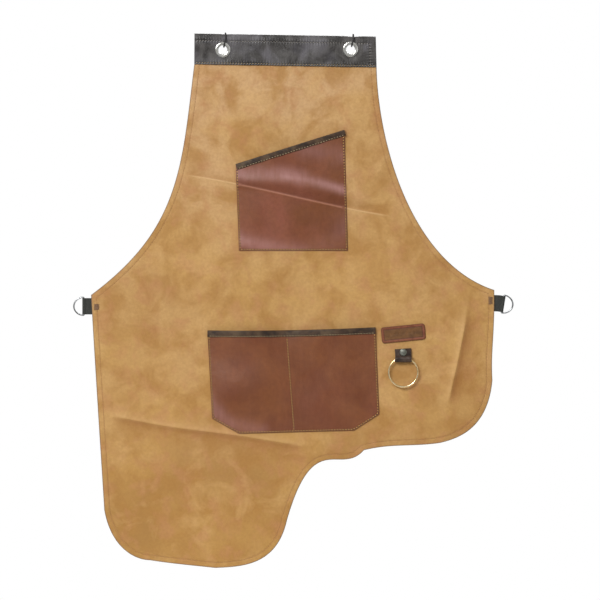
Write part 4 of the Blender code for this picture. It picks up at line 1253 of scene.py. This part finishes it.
def binding(name, node, mouth, depth, offset, looks):
    """A strip folded over a pocket's mouth, with its row of stitches."""
    outside, lining = binding_section(depth)
    section = np.array(outside + lining[::-1])
    count, layers = len(section), len(outside)
    up = normals(mouth)
    at = lengths_along(mouth)
    points, rim = [], []
    for station in range(len(mouth)):
        wobble = 1.0 + 0.035 * math.sin(at[station] * 210.0) + 0.02 * math.sin(at[station] * 77.0 + 1.0)
        heights = np.where(section[:, 0] < 0.0, section[:, 0] * wobble, section[:, 0])
        x, z = (mouth[station] + heights[:, None] * up[station]).T
        seat = (mouth[station] + np.minimum(heights, 0.0)[:, None] * up[station]).T
        points.append(np.stack([x, middle(*seat) - offset(*seat) + section[:, 1], z], axis=1))
        rim.append(np.exp(-np.abs(heights + depth) / 0.0012))
    faces = skin(steps_of(len(mouth)), count)
    for base in (0, (len(mouth) - 1) * count):
        for k in range(layers - 1):
            faces.append((base + k, base + k + 1, base + count - 2 - k, base + count - 1 - k))
    piece = new_piece(name, np.concatenate(points), faces, looks["binding"], "apron")
    paint(piece, "rim", np.concatenate(rim))
    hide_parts(node)
    route = (mouth - up * (depth - 0.0011))[1:-1]
    outer = POCKET_THICKNESS / 2.0 + BINDING_GAP + BINDING_THICKNESS
    face = lambda x, z: middle(x, z) - offset(x, z) - outer + BINDING_THREAD_SINK
    dots = stitch_row(
        f"{name}_stitches", route, face, looks["pale_thread"], "apron", "binding", share=0.56, radius=0.00046,
        rise=0.00028,
    )
    return piece, dots


def pockets(looks):
    sewn = [CHEST_TOP_LEFT, CHEST_BOTTOM_LEFT, CHEST_BOTTOM_RIGHT, CHEST_TOP_RIGHT]
    outline = straight(sewn)
    mouth = resample(np.array([CHEST_TOP_LEFT, CHEST_TOP_RIGHT]), 0.0024)
    pocket(
        "chest_pocket_leather", "chest_pocket", outline, sewn, [], mouth, CHEST_BINDING_DEPTH, chest_offset,
        looks,
    )
    sewn = [LOWER_TOP_LEFT, LOWER_SIDE_LEFT, LOWER_FOOT_LEFT]
    sewn += [LOWER_FOOT_RIGHT, LOWER_SIDE_RIGHT, LOWER_TOP_RIGHT]
    x = np.linspace(LOWER_TOP_LEFT[0], LOWER_TOP_RIGHT[0], 106)
    mouth = np.stack([x, lower_top(x)], axis=1)
    outline = np.concatenate([open_line(sewn)[:-1], mouth[::-1][:-1]])
    divider = resample(np.array([DIVIDER_TOP, DIVIDER_FOOT]), EDGE_STEP)
    divider = divider[divider[:, 1] < DIVIDER_TOP[1] - 0.0035]
    pocket(
        "lower_pocket_leather", "lower_pocket", outline, sewn, [divider], mouth, LOWER_BINDING_DEPTH,
        lower_offset, looks,
    )


def turn_matrix(angle):
    return np.array([[math.cos(angle), -math.sin(angle)], [math.sin(angle), math.cos(angle)]])


def rounded_rectangle(centre, size, corner, tilt, arc_steps=8):
    half_width, half_height = size[0] / 2.0 - corner, size[1] / 2.0 - corner
    found = []
    for quarter, (sx, sz) in enumerate(((1, 1), (-1, 1), (-1, -1), (1, -1))):
        angle = np.linspace(0.0, math.pi / 2.0, arc_steps + 1) + quarter * math.pi / 2.0
        arc = [sx * half_width + corner * np.cos(angle), sz * half_height + corner * np.sin(angle)]
        found.append(np.stack(arc, axis=1))
    return np.concatenate(found) @ turn_matrix(tilt).T + np.array(centre)


# How far in from the patch's edge its pressed line runs.
PATCH_FRAME = 0.0042


def name_patch(looks):
    """The patch: a pressed border line and a row of small pressed diamonds in place of a name."""
    outline = rounded_rectangle(PATCH_CENTRE, PATCH_SIZE, PATCH_CORNER, PATCH_TILT)
    outline = resample(closed(outline), 0.0012)[:-1]
    half = PATCH_THICKNESS / 2.0
    seat = PANEL_THICKNESS / 2.0 + LAYER_GAP + half

    def dent(points, distance):
        frame_line = 0.00035 * bell(distance - PATCH_FRAME, 0.0006)
        own = (points - np.array(PATCH_CENTRE)) @ turn_matrix(-PATCH_TILT).T
        across = np.abs((own[:, 0] + 0.003) % 0.006 - 0.003)
        shape = ease((0.0022 - across - np.abs(own[:, 1]) * 0.8) / 0.0010)
        shape = shape * (np.abs(own[:, 0]) < 0.0225)
        return frame_line + 0.00022 * ease((distance - 0.0046) / 0.0006) + 0.00022 * shape

    piece = leather_sheet(
        "blank_patch", outline, [], PATCH_ROWS, PATCH_GRID_STEP, lambda x, z: middle(x, z) - seat, half, dent,
        looks["patch"], "apron",
    )
    distance = edge_distances(piece, outline)
    paint(piece, "field", ease((distance - 0.0044) / 0.0005))
    paint(piece, "seam", bell(distance - PATCH_FRAME, 0.0006))
    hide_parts("name_patch")


# ---------------------------------------------------------------- bib band


def band_surface(x, z):
    """How far the band's front stands out beyond its flat face: soft waves, flat under the eyelets."""
    waves = 0.00042 * (1.0 + np.sin(x * 42.0 + z * 60.0))
    waves = waves + 0.00022 * (1.0 + np.sin(x * 131.0 - z * 90.0 + 0.7))
    waves = waves + 0.00055 * bell(x + 0.03 + z * 1.2, 0.016) + 0.00040 * bell(x - 0.045 - z * 0.9, 0.014)
    for side in (-1, 1):
        cx, cz = eyelet_centre(side)
        waves = waves * ease((np.hypot(x - cx, z - cz) - FLANGE_RADIUS - 0.0006) / 0.010)
    return waves


PUCKER_DEPTH = 0.00026


def puckers(points, seam):
    """Small pleats that the thread pulls into the leather, one for each stitch."""
    distance, along, _ = nearest(points, seam)
    return PUCKER_DEPTH * np.cos(2.0 * np.pi * along / STITCH_PITCH) * bell(distance, 0.0042)


def top_dip(x):
    """The cords pull the folded top edge down a little."""
    return 0.0010 * bell(x - 0.1000, 0.0075) + 0.0004 * bell(x + 0.0915, 0.0070)


BAND_STEP = 0.0026
FOLD_STEPS = 12
# How far the band's lining lies from the middle of the panel, on each side.
BAND_LINING = PANEL_THICKNESS / 2.0 + BINDING_GAP


def band_leg(seams):
    """One leg laid flat: points, triangles, loops' lengths, points along the fold, and the other edges."""
    top = resample(np.array([BIB_TOP_RIGHT, BIB_TOP_LEFT]), BAND_STEP)
    left = bezier(BIB_TOP_LEFT, None, BAND_BOTTOM_LEFT, BAND_STEP)[1:]
    bottom = bezier(BAND_BOTTOM_LEFT, None, BAND_BOTTOM_RIGHT, BAND_STEP)
    right = bezier(BAND_BOTTOM_RIGHT, None, BIB_TOP_RIGHT, BAND_STEP)
    lower_edge = np.concatenate([left, bottom, right])
    outline = np.concatenate([top, lower_edge])
    grid = hex_grid(outline, BAND_STEP)
    grid = grid[inside(grid, outline) & (nearest(grid, closed(outline))[0] > 0.0012)]
    inner = spread_points(np.concatenate([band_rows(outline, seams), grid]), 0.0005)
    holes = eyelet_holes()
    for hole in holes:
        inner = inner[~inside(inner, hole) & (nearest(inner, closed(hole))[0] > 0.0010)]
    return *triangulate(outline, holes, inner), len(top), lower_edge


def band_levels(points, edge_distance, seams):
    """y of the band's front, the front leg's lining, the back leg's lining and its back."""
    x, z = points.T
    thick = BAND_LINING + BAND_THICKNESS * (0.55 + 0.45 * quarter_round(edge_distance / 0.0006))
    pressed = np.zeros(len(points))
    for seam in seams:
        pressed = np.maximum(pressed, 0.00028 * bell(nearest(points, seam)[0], 0.0008))
    for seam in seams:
        pressed = pressed + puckers(points, seam)
    fold_share = ease((distance_below_top(points) - 0.0004) / 0.006)
    front = -thick - band_surface(x, z) * fold_share + pressed
    back = thick + 0.3 * band_surface(x + 0.05, z) * fold_share
    return front, np.full(len(points), -BAND_LINING), np.full(len(points), BAND_LINING), back


def band_edges(counts, top_count, count):
    """The faces through each leg's thickness, round its sides, its foot and its holes."""
    made, first = [], 0
    for loop, number in enumerate(counts):
        for i in range(number):
            if loop == 0 and i < top_count - 1:
                continue
            a, b = first + i, first + (i + 1) % number
            for near, far in ((0, 1), (2, 3)):
                made.append((near * count + a, far * count + a, far * count + b, near * count + b))
        first += number
    return made


def band_fold(top, count):
    """The fold that joins both legs over the panel's edge: its points, and its faces."""
    points, made, folds = [], [], []
    number = len(top)
    for near, far, rise, depth in ((0, 3, 0.0013, BAND_LINING + BAND_THICKNESS), (1, 2, 0.0005, BAND_LINING)):
        rows = [near * count + np.arange(number)]
        for angle in math.pi * np.arange(1, FOLD_STEPS) / FOLD_STEPS:
            rows.append(4 * count + number * len(points) + np.arange(number))
            y = np.full(number, -depth * math.cos(angle))
            points.append(np.stack([top[:, 0], y, top[:, 1] + rise * math.sin(angle)], axis=1))
        rows.append(far * count + np.arange(number))
        for lower, upper in zip(rows, rows[1:]):
            made += zip(lower[:-1], lower[1:], upper[1:], upper[:-1])
        folds.append(rows)
    outer, lining = folds
    for end in (0, number - 1):
        for k in range(FOLD_STEPS):
            made.append((outer[k][end], outer[k + 1][end], lining[k + 1][end], lining[k][end]))
    return points, made


def bib_band(looks):
    seams = band_seams()
    points, faces, counts, top_count, lower_edge = band_leg(seams)
    count = len(points)
    distance = nearest(points, lower_edge)[0]
    x, z = points.T
    z = z - top_dip(x) * ease((z + 0.004) / 0.024)
    solid = [np.stack([x, y, z], axis=1) for y in band_levels(points, distance, seams)]
    made = [tuple(f + level * count) for level in range(4) for f in faces]
    made += band_edges(counts, top_count, count)
    fold_points, fold_faces = band_fold(np.stack([x, z], axis=1)[:top_count], count)
    solid += fold_points
    made += fold_faces
    piece = new_piece("band_leather", np.concatenate(solid), made, looks["band"], "apron")
    sewn = np.min([nearest(points, seam)[0] for seam in seams], axis=0)
    plain = np.zeros(sum(len(row) for row in fold_points))
    for title, values in (("rim", np.exp(-distance / 0.0012)), ("seam", bell(sewn, 0.0009))):
        paint(piece, title, np.concatenate([np.tile(values, 4), plain]))
    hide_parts("bib_band")

    def face(px, pz):
        return -(BAND_LINING + BAND_THICKNESS) - band_surface(px, pz) + THREAD_SINK

    names = ("band_top_stitches", "band_foot_stitches")
    threads = [
        stitch_row(title, seam, face, looks[look], "apron", "band", STITCH_PITCH, share, 0.00042, 0.00030)
        for title, seam, look, share in zip(names, seams, ("grey_thread", "pale_thread"), (0.56, 0.50))
    ]


def distance_below_top(points):
    return line_at(BIB_TOP_LEFT, BIB_TOP_RIGHT, points[:, 0], 0) - points[:, 1]


SEAM_STEP = 0.0009


def band_seams():
    """The stitched lines of the band: below its top edge and down its right end, and along its foot."""
    below, side, above = 0.0095, 0.0095, 0.0024
    start = (BIB_TOP_LEFT[0] + 0.0025, BIB_TOP_LEFT[1] - below)
    corner = (BIB_TOP_RIGHT[0] - side, BIB_TOP_RIGHT[1] - below)
    end = (BAND_BOTTOM_RIGHT[0] - side, BAND_BOTTOM_RIGHT[1] + above)
    upper = open_line([start, corner, end], SEAM_STEP)
    left = (BAND_BOTTOM_LEFT[0] + 0.0018, BAND_BOTTOM_LEFT[1] + above)
    right = (BAND_BOTTOM_RIGHT[0] - 0.0018, BAND_BOTTOM_RIGHT[1] + above)
    return [upper, open_line([left, right], SEAM_STEP)]


def band_rows(outline, seams):
    """Rows of points beside the seams and the edges."""
    rows = [offset_line(outline, distance, wrap=True) for distance in (0.00025, 0.0006, 0.0011)]
    for seam in seams:
        right = (-0.0062, -0.0044, -0.0030, -0.0019, -0.0011, -0.0005, 0.0)
        left = (0.0005, 0.0011, 0.0019, 0.0030, 0.0044)
        rows += [seam + normals(seam) * distance for distance in right + left]
    points = np.concatenate(rows)
    return points[inside(points, outline) & (nearest(points, closed(outline))[0] > 0.0002)]


# ---------------------------------------------------------------- metal


def fillet(profile, size, steps=4):
    """The closed profile with each corner rounded."""
    given = np.array(profile, float)
    found = []
    for before, corner, after in zip(np.roll(given, 1, axis=0), given, np.roll(given, -1, axis=0)):
        back, ahead = before - corner, after - corner
        reach_back = min(size, 0.45 * np.linalg.norm(back))
        reach_ahead = min(size, 0.45 * np.linalg.norm(ahead))
        a = corner + back / np.linalg.norm(back) * reach_back
        b = corner + ahead / np.linalg.norm(ahead) * reach_ahead
        for t in np.linspace(0.0, 1.0, steps + 1):
            found.append((1 - t) ** 2 * a + 2 * t * (1 - t) * corner + t * t * b)
    return np.array(found)


def turned(name, node, profile, centre, look, slot, sides=96):
    """A solid turned about an axis along Y through centre (x, z), from a profile of (radius, y)."""
    rings = [np.insert(circle(centre, radius, sides), 1, y, axis=1) for radius, y in profile]
    faces = skin(loop_of(len(profile)), sides)
    piece = new_piece(name, np.concatenate(rings), faces, look, "apron", smooth_angle=50.0)
    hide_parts(node)
    return piece


def eyelet(side, label, looks):
    centre = eyelet_centre(side)
    seat = -(PANEL_THICKNESS / 2.0 + BINDING_GAP + BAND_THICKNESS) - LAYER_GAP
    face = seat - 0.00135
    back = -seat
    barrel = [
        (BARREL_RADIUS, seat), (FLANGE_RADIUS - 0.0003, seat), (FLANGE_RADIUS, seat - 0.0004),
        (FLANGE_RADIUS - 0.0002, seat - 0.0009), (FLANGE_RADIUS - 0.0009, face + 0.0001),
        (FLANGE_RADIUS - 0.0013, face), (0.0084, face), (0.0074, face + 0.0002), (0.0068, face + 0.0007),
        (BARREL_BORE, face + 0.0014), (BARREL_BORE, back + 0.0006), (0.0069, back + 0.0015),
        (0.0077, back + 0.0019), (0.0086, back + 0.0017), (0.0090, back + 0.0013), (0.0086, back + 0.0011),
        (BARREL_RADIUS, back + 0.0011),
    ]
    finish = (centre, looks["nickel"], "nickel")
    turned(f"{label}_eyelet_metal", f"{label}_eyelet", fillet(barrel, 0.0006, 3), *finish)
    washer = [
        (EYELET_HOLE_RADIUS, back), (0.0110, back), (0.0112, back + 0.0004), (0.0108, back + 0.0008),
        (EYELET_HOLE_RADIUS, back + 0.0008),
    ]
    turned(f"{label}_washer_metal", f"{label}_eyelet_washer", fillet(washer, 0.0002, 3), *finish)


def round_tube(path, across, up, radius, sides):
    """The points of rings round a closed path, each in the plane of its own two unit vectors."""
    turn = whole_turn(sides)
    ring = across[:, None, :] * np.cos(turn)[None, :, None] + up[:, None, :] * np.sin(turn)[None, :, None]
    return (path[:, None, :] + radius * ring).reshape(-1, 3)


def wire(name, node, path, radius, look, body, sides=24):
    """A closed loop of round wire along a path in a plane across Y, given as (N, 3) points."""
    normal = np.tile([0.0, 1.0, 0.0], (len(path), 1))
    points = round_tube(path, np.cross(directions(path, wrap=True), normal), normal, radius, sides)
    faces = skin(loop_of(len(path)), sides)
    piece = new_piece(name, points, faces, look, body, smooth_angle=80.0)
    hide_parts(node)


def ring_path():
    """The D-ring's centre line in its own plane: outward from the bar, and along the bar."""
    height, depth, corner = RING_HALF_HEIGHT, RING_DEPTH, RING_CORNER
    bar = [(0.0, along) for along in np.linspace(-(height - corner), height - corner, 16)]
    arc_start = math.asin(corner / depth)
    turn_end = np.array([corner, height * math.cos(arc_start)])
    start, tip = np.array([0.0, height - corner]), np.array([0.0, height])
    t = np.linspace(0.0, 1.0, 10)[1:-1, None]
    bend = start * (1 - t) ** 2 + 2 * tip * t * (1 - t) + turn_end * t**2
    turn = np.linspace(arc_start, math.pi - arc_start, 60)
    arc = np.stack([depth * np.sin(turn), height * np.cos(turn)], axis=1)
    return np.concatenate([bar, bend, arc, bend[::-1] * (1, -1)])


# ---------------------------------------------------------------- side webbing


def tunnelled(outline, tunnel, stations):
    """The faces of a bar with a tunnel along it. Each row is the outline's points, then the tunnel's."""
    count, row = len(outline), len(outline) + len(tunnel)
    faces = skin(steps_of(stations), count, row) + skin(steps_of(stations), len(tunnel), row, count)
    _, caps, _ = triangulate(outline, [tunnel], np.zeros((0, 2)))
    return faces + [tuple(face + base) for base in (0, (stations - 1) * row) for face in caps]


def strap_line(distance, bar_distance, tilt):
    fold = bar_distance - RING_WIRE - BAR_PLAY - WEBBING_PLY
    bent = np.clip(distance, 0.0, fold)
    angle = tilt * bent / fold
    past = distance - bent
    return bent + past * np.cos(angle), bent * angle / 2.0 + past * np.sin(angle), angle


def strap_section(bar_distance):
    """The webbing's section, outward and across its thickness: its outline, and the tunnel for the bar."""
    half = WEBBING_HALF_THICKNESS
    bore = RING_WIRE + BAR_PLAY
    outer = bore + WEBBING_PLY
    tail = -(HINGE_CLEARANCE + WEBBING_SEWN_LENGTH - 0.0001)
    turn = np.radians(np.linspace(-WEBBING_FOLD_HALF_TURN, WEBBING_FOLD_HALF_TURN, 25))
    fold = np.stack([bar_distance + outer * np.cos(turn), outer * np.sin(turn)], axis=1)
    shank = np.linspace(fold[0][0] - 0.0008, tail + 0.0006, 34)
    lower = np.stack([shank[::-1], np.full(34, -half)], axis=1)
    upper = np.stack([shank, np.full(34, half)], axis=1)
    rear = [(0.0002, 0.85), (0.0, 0.3), (0.0, -0.3), (0.0002, -0.85)]
    end = [(tail + inset, half * share) for inset, share in rear]
    return np.concatenate([lower, fold, upper, end]), circle((bar_distance, 0.0), bore, 24)


def side_strap(side, looks):
    """The webbing in one length, from behind the panel round the D-ring's bar, and the D-ring."""
    if side < 0:
        label, edge, middle_z = "left", LEFT_WAIST[0], LEFT_STRAP_Z
        bar_distance, tilt = LEFT_BAR_DISTANCE, LEFT_STRAP_TILT
    else:
        label, edge, middle_z = "right", RIGHT_WAIST[0], RIGHT_STRAP_Z
        bar_distance, tilt = RIGHT_BAR_DISTANCE, RIGHT_STRAP_TILT
    webbing_y = PANEL_THICKNESS / 2.0 + LAYER_GAP + WEBBING_HALF_THICKNESS
    hinge = np.array([edge + side * HINGE_CLEARANCE, webbing_y, middle_z])
    outline, tunnel = strap_section(bar_distance)
    loops = np.concatenate([outline, tunnel])
    stations = np.linspace(-1.0, 1.0, WEBBING_STATIONS) * WEBBING_WIDTH / 2.0
    points = []
    outer_count = len(outline)
    for height in stations:
        rib = 1.0 + 0.085 * math.cos(2.0 * math.pi * height / WEBBING_RIB)
        selvedge = 1.0 - 0.22 * float(ease((abs(height) - WEBBING_WIDTH / 2.0 + 0.0009) / 0.0009))
        local = loops.copy()
        weave = 1.0 + 0.02 * np.cos(2.0 * np.pi * local[:, 0] / WEBBING_WEAVE)
        local[:outer_count, 1] *= np.minimum(rib * selvedge, 1.06) * weave[:outer_count] * 0.97
        out, drop, angle = strap_line(local[:, 0], bar_distance, tilt)
        x = hinge[0] + side * (out + height * np.sin(angle))
        z = hinge[2] + height * np.cos(angle) - drop
        points.append(np.stack([x, hinge[1] + local[:, 1], z], axis=1))
    faces = tunnelled(outline, tunnel, len(stations))
    strap = new_piece(f"{label}_webbing", np.concatenate(points), faces, looks["webbing"], None)
    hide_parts(f"{label}_webbing_end", f"{label}_webbing_loop")
    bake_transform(strap)

    out, drop, _ = strap_line(np.array(bar_distance), bar_distance, tilt)
    centre = hinge + np.array([side * float(out), 0.0, -float(drop)])
    outward = np.array([side * math.cos(tilt), 0.0, -math.sin(tilt)])
    bar = np.array([side * math.sin(tilt), 0.0, math.cos(tilt)])
    path = np.array([centre + outward * p[0] + bar * p[1] for p in ring_path()])
    wire(f"{label}_ring_wire", f"{label}_d_ring", path, RING_WIRE, looks["steel"], f"{label}_ring")
    bartack(side, label, looks)


def bartack(side, label, looks):
    """The block of thread on the panel's front that holds the webbing behind it."""
    low, high = LEFT_TACK if side < 0 else RIGHT_TACK
    face = lambda x, z: middle(x, z) - PANEL_THICKNESS / 2.0
    rows = []
    for i, z in enumerate(np.linspace(low[1], high[1], TACK_ROWS)):
        slant = 0.0003 * (-1) ** i
        line = resample(np.array([(low[0], z - slant), (high[0], z + slant)]), 0.001)
        sewing = (0.99 * lengths_along(line)[-1], 0.98, 0.00046, 0.00042)
        rows.append(stitch_row(f"tack_{label}_{i}", line, face, looks["tack_thread"], None, None, *sewing))
    block = join_pieces(f"{label}_bartack", rows)
    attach(block, "apron")


# ---------------------------------------------------------------- key tab, rivet and ring


def tab_levels():
    back = -(PANEL_THICKNESS / 2.0 + LAYER_GAP)
    front = back - 2.0 * TAB_PLY - 0.0001
    ring_top = KEY_RING_RADIUS + KEY_RING_WIRE
    ring_exit = math.sqrt((KEY_RING_RADIUS - KEY_RING_WIRE) ** 2 - TAB_HALF_WIDTH**2)
    bore = (ring_top - ring_exit) / 2.0 + KEY_RING_PLAY
    return back, front, back - TAB_PLY - bore, KEY_RING_CENTRE_Z + (ring_top + ring_exit) / 2.0, bore


TAB_TILT = math.radians(4.0)


def tab_section():
    """The tab's section as (y, z) points: its outline, and the tunnel for the ring."""
    back, front, axis_y, axis_z, bore = tab_levels()
    outer = bore + TAB_PLY
    join = math.acos((front - axis_y) / outer)
    turn = np.linspace(0.0, -(2.0 * math.pi - join), 60)
    arc = np.stack([axis_y + outer * np.cos(turn), axis_z + outer * np.sin(turn)], axis=1)
    arc = arc[arc[:, 0] <= back]
    rear = np.stack([np.full(20, back), np.linspace(TAB_TOP - 0.0003, axis_z, 20)], axis=1)
    lip = np.array([(front, z) for z in np.linspace(arc[-1, 1] + 0.0008, TAB_TOP - 0.0003, 16)])
    top = [
        (front + 0.0003, TAB_TOP), (front + 0.0011, TAB_TOP), (front + 0.0013, TAB_TOP - 0.0003),
        (front + 0.0015, TAB_TOP), (back - 0.0003, TAB_TOP),
    ]
    return np.concatenate([rear, arc[1:], lip, top]), circle((axis_y, axis_z), bore, 40)


def key_tab(looks):
    """The folded strap end. Its upper part leans a little on the rivet, and its fold hangs level."""
    _, front, axis_y, axis_z, bore = tab_levels()
    outline, tunnel = tab_section()
    shares = np.concatenate([[-1.0, -0.992, -0.97], np.linspace(-0.93, 0.93, 21), [0.97, 0.992, 1.0]])
    tucks = [0.00030, 0.00010, 0.0, *([0.0] * 21), 0.0, 0.00010, 0.00030]
    points = []
    outer_count, count = len(outline), len(outline) + len(tunnel)
    normal = normals(outline, wrap=True)
    if area_of(outline + normal * 0.0001) > area_of(outline):
        normal = -normal
    for share, tuck in zip(shares, tucks):
        loop = outline + normal * tuck
        widened = (tunnel - (axis_y, axis_z)) * (1.0 + tuck / bore) + (axis_y, axis_z)
        both = np.concatenate([loop, widened])
        x = np.full(count, share * TAB_HALF_WIDTH)
        lean = TAB_TILT * ease((both[:, 1] - axis_z) / (RIVET_Z - axis_z))
        dz = both[:, 1] - RIVET_Z
        placed_x = RIVET_X + x * np.cos(lean) - dz * np.sin(lean)
        placed_z = RIVET_Z + x * np.sin(lean) + dz * np.cos(lean)
        crown = np.zeros(count)
        crown[:outer_count] = 0.00012 * np.sin(x[0] * 700.0 + both[:outer_count, 1] * 900.0)
        crown[both[:, 0] > front - 0.0001] = 0.0
        points.append(np.stack([placed_x, both[:, 0] + crown, placed_z], axis=1))
    faces = tunnelled(outline, tunnel, len(shares))
    piece = new_piece("key_strap", np.concatenate(points), faces, looks["tab"], "key_hanger")
    rim = np.repeat(np.exp(-(1.0 - np.abs(shares)) * TAB_HALF_WIDTH / 0.0008), count)
    paint(piece, "rim", rim)
    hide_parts("key_tab")


def key_rivet(looks):
    seat = tab_levels()[1] - LAYER_GAP
    base_front = PANEL_THICKNESS / 2.0 + LAYER_GAP
    base_back = base_front + 0.0010
    spread = base_back + LAYER_GAP
    tiny = 0.00005
    crown = seat - RIVET_CAP_HEIGHT
    cap = [
        (tiny, 0.0), (0.0014, 0.00002), (0.0027, 0.0001), (0.0034, 0.00035), (0.0038, 0.00045),
        (0.0041, 0.00030), (0.0045, 0.00015), (0.0049, 0.00030), (0.0052, 0.00070), (RIVET_CAP, 0.0011),
    ]
    rivet = [(radius, crown + depth) for radius, depth in cap]
    rivet += [(RIVET_CAP, seat - 0.0002), (RIVET_CAP - 0.0002, seat)]
    rivet += [(RIVET_SHANK, seat), (RIVET_SHANK, spread), (0.0030, spread), (0.0030, spread + 0.0003)]
    rivet += [(0.0026, spread + 0.0006), (0.0016, spread + 0.0008), (tiny, spread + 0.0008)]
    finish = ((RIVET_X, RIVET_Z), looks["gunmetal"], "gunmetal", 64)
    turned("rivet_metal", "key_rivet", rivet, *finish)
    base = [(RIVET_HOLE, base_front), (RIVET_BASE, base_front), (RIVET_BASE, base_back - 0.0003),
            (RIVET_BASE - 0.0004, base_back), (RIVET_HOLE, base_back)]
    turned("rivet_base_metal", "key_rivet_base", fillet(base, 0.0002, 3), *finish)


def key_ring(looks):
    path = np.insert(circle((RIVET_X, KEY_RING_CENTRE_Z), KEY_RING_RADIUS, 144), 1, tab_levels()[2], axis=1)
    wire("key_ring_wire", "key_ring", path, KEY_RING_WIRE, looks["ring"], "key_hoop")


# ---------------------------------------------------------------- hanging cords


def cord_points(side):
    """The cord's route through one eyelet and over the bib's top edge, from the knot back to the knot."""
    edge = LEFT_EDGE_HEIGHT if side < 0 else RIGHT_EDGE_HEIGHT
    route = [
        (0.0028, 0.0064, 0.0116),
        (0.0024, 0.0063, 0.0093),
        (0.0020, 0.0053, 0.0060),
        (0.0017, 0.0022, 0.0046),
        (0.0016, -0.0014, 0.0046),
        (0.0018, -0.0049, 0.0059),
        (0.0026, -0.0060, 0.0094),
        (0.0036, -0.0059, 0.0125),
        (0.0042, -0.0053, edge - 0.0050),
        (0.0043, -0.0047, edge - 0.0022),
        (0.0042, -0.0033, edge + 0.0012),
        (0.0041, 0.0000, edge + 0.0026),
        (0.0040, 0.0034, edge + 0.0010),
        (0.0037, 0.0050, edge - 0.0013),
    ]
    if side < 0:
        route.append((0.0035, 0.0059, edge - 0.0045))
    route.append((0.0034, 0.0062, 0.0168))
    x, z = eyelet_centre(side)
    return np.array(route) + (x, 0.0, z)


def hanging_cord(side, label, looks):
    route = smooth_line(cord_points(side), 0.0008)
    curve = bpy.data.curves.new(f"{label}_cord", "CURVE")
    curve.dimensions = "3D"
    curve.bevel_depth = CORD_DIAMETER / 2.0
    curve.bevel_resolution = 5
    curve.use_fill_caps = True
    spline = curve.splines.new("POLY")
    spline.points.add(len(route) - 1)
    for slot, point in zip(spline.points, route):
        slot.co = (*point, 1.0)
    spline.use_smooth = True
    curve.materials.append(looks["cord"])
    cord = add_object(f"{label}_cord", curve)
    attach(cord, "apron")
    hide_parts(f"{label}_hanging_cord")
    tie = knot(side, label, looks)


def knot(side, label, looks):
    """The tied ends: a small tight overhand knot."""
    x, z = eyelet_centre(side)
    place = np.array([x, 0.0, z]) + KNOT_PLACE
    stations, sides = 96, 12
    t = whole_turn(stations)
    path = [np.sin(t) + 2 * np.sin(2 * t), -1.2 * np.sin(3 * t), np.cos(t) - 2 * np.cos(2 * t)]
    path = np.stack(path, axis=1) * KNOT_SIZE
    run = directions(path, wrap=True)
    across = np.cross(run, path / np.linalg.norm(path, axis=1)[:, None])
    across /= np.linalg.norm(across, axis=1)[:, None]
    points = round_tube(path, across, np.cross(across, run), KNOT_STRAND, sides) + place
    faces = skin(loop_of(stations), sides)
    piece = new_piece(f"{label}_knot", points, faces, looks["cord"], "apron", smooth_angle=80.0)
    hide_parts(f"{label}_cord_knot")
    return piece


# ---------------------------------------------------------------- camera, light and floor


def camera():
    data = bpy.data.cameras.new("camera")
    data.sensor_width = 36.0
    data.lens = data.sensor_width * CAMERA_DISTANCE / PHOTO_WIDTH
    data.clip_end = 100.0
    eye = add_object("camera", data)
    eye.location = (PHOTO_CENTRE[0], -CAMERA_DISTANCE, PHOTO_CENTRE[1])
    eye.rotation_euler = (math.pi / 2.0, 0.0, 0.0)
    bpy.context.scene.camera = eye


def softbox(name, place, size, power):
    data = bpy.data.lights.new(name, "AREA")
    data.shape = "RECTANGLE"
    data.size, data.size_y = size
    data.energy = power
    lamp = add_object(name, data)
    lamp.location = place
    lamp.rotation_mode = "QUATERNION"
    lamp.rotation_quaternion = (Vector(LIT_POINT) - Vector(place)).to_track_quat("-Z", "Y")


def white_world():
    """Pure white to the camera, and to everything else a sky that is brighter above."""
    world = bpy.data.worlds.new("studio")
    bpy.context.scene.world = world
    world.use_nodes = True
    tree = world.node_tree
    fill, end = tree.nodes["Background"], tree.nodes["World Output"]
    kinds = ("TexCoord", "SeparateXYZ", "MapRange", "Background", "LightPath", "MixShader")
    way, split, sky, white, ray, both = (tree.nodes.new("ShaderNode" + kind) for kind in kinds)
    for socket, value in zip(("From Min", "From Max", "To Min", "To Max"), (-0.7, 0.8, 0.20, 0.58)):
        sky.inputs[socket].default_value = value
    white.inputs["Strength"].default_value = 1.0
    for background in (fill, white):
        background.inputs["Color"].default_value = (1.0, 1.0, 1.0, 1.0)
    for source, output, target, entry in (
        (way, "Generated", split, "Vector"),
        (split, "Z", sky, "Value"),
        (sky, "Result", fill, "Strength"),
        (ray, "Is Camera Ray", both, "Fac"),
        (fill, "Background", both, 1),
        (white, "Background", both, 2),
        (both, "Shader", end, "Surface"),
    ):
        tree.links.new(source.outputs[output], target.inputs[entry])


def floor():
    """A pale disc below the apron, for views from other sides."""
    shape = bmesh.new()
    bmesh.ops.create_circle(shape, cap_ends=True, segments=128, radius=FLOOR_RADIUS)
    bmesh.ops.translate(shape, vec=(PHOTO_CENTRE[0], 0.0, FLOOR_Z), verts=shape.verts)
    mesh = bpy.data.meshes.new("floor")
    shape.to_mesh(mesh)
    shape.free()
    look = Look("pale_floor", Specular_IOR_Level=0.2)
    mesh.materials.append(look.finish(srgb(236, 235, 232), 0.8))
    add_object("floor", mesh)


def studio():
    white_world()
    for light in LIGHTS:
        softbox(*light)
    bpy.context.scene.view_settings.view_transform = "Standard"
    floor()


# ---------------------------------------------------------------- the apron


looks = make_looks()
camera()
hanging_cord(-1, "left", looks)
hanging_cord(1, "right", looks)
body_panel(looks)
bib_band(looks)
pockets(looks)
name_patch(looks)
for side, label in ((-1, "left"), (1, "right")):
    eyelet(side, label, looks)
    side_strap(side, looks)
key_tab(looks)
key_rivet(looks)
key_ring(looks)
studio()
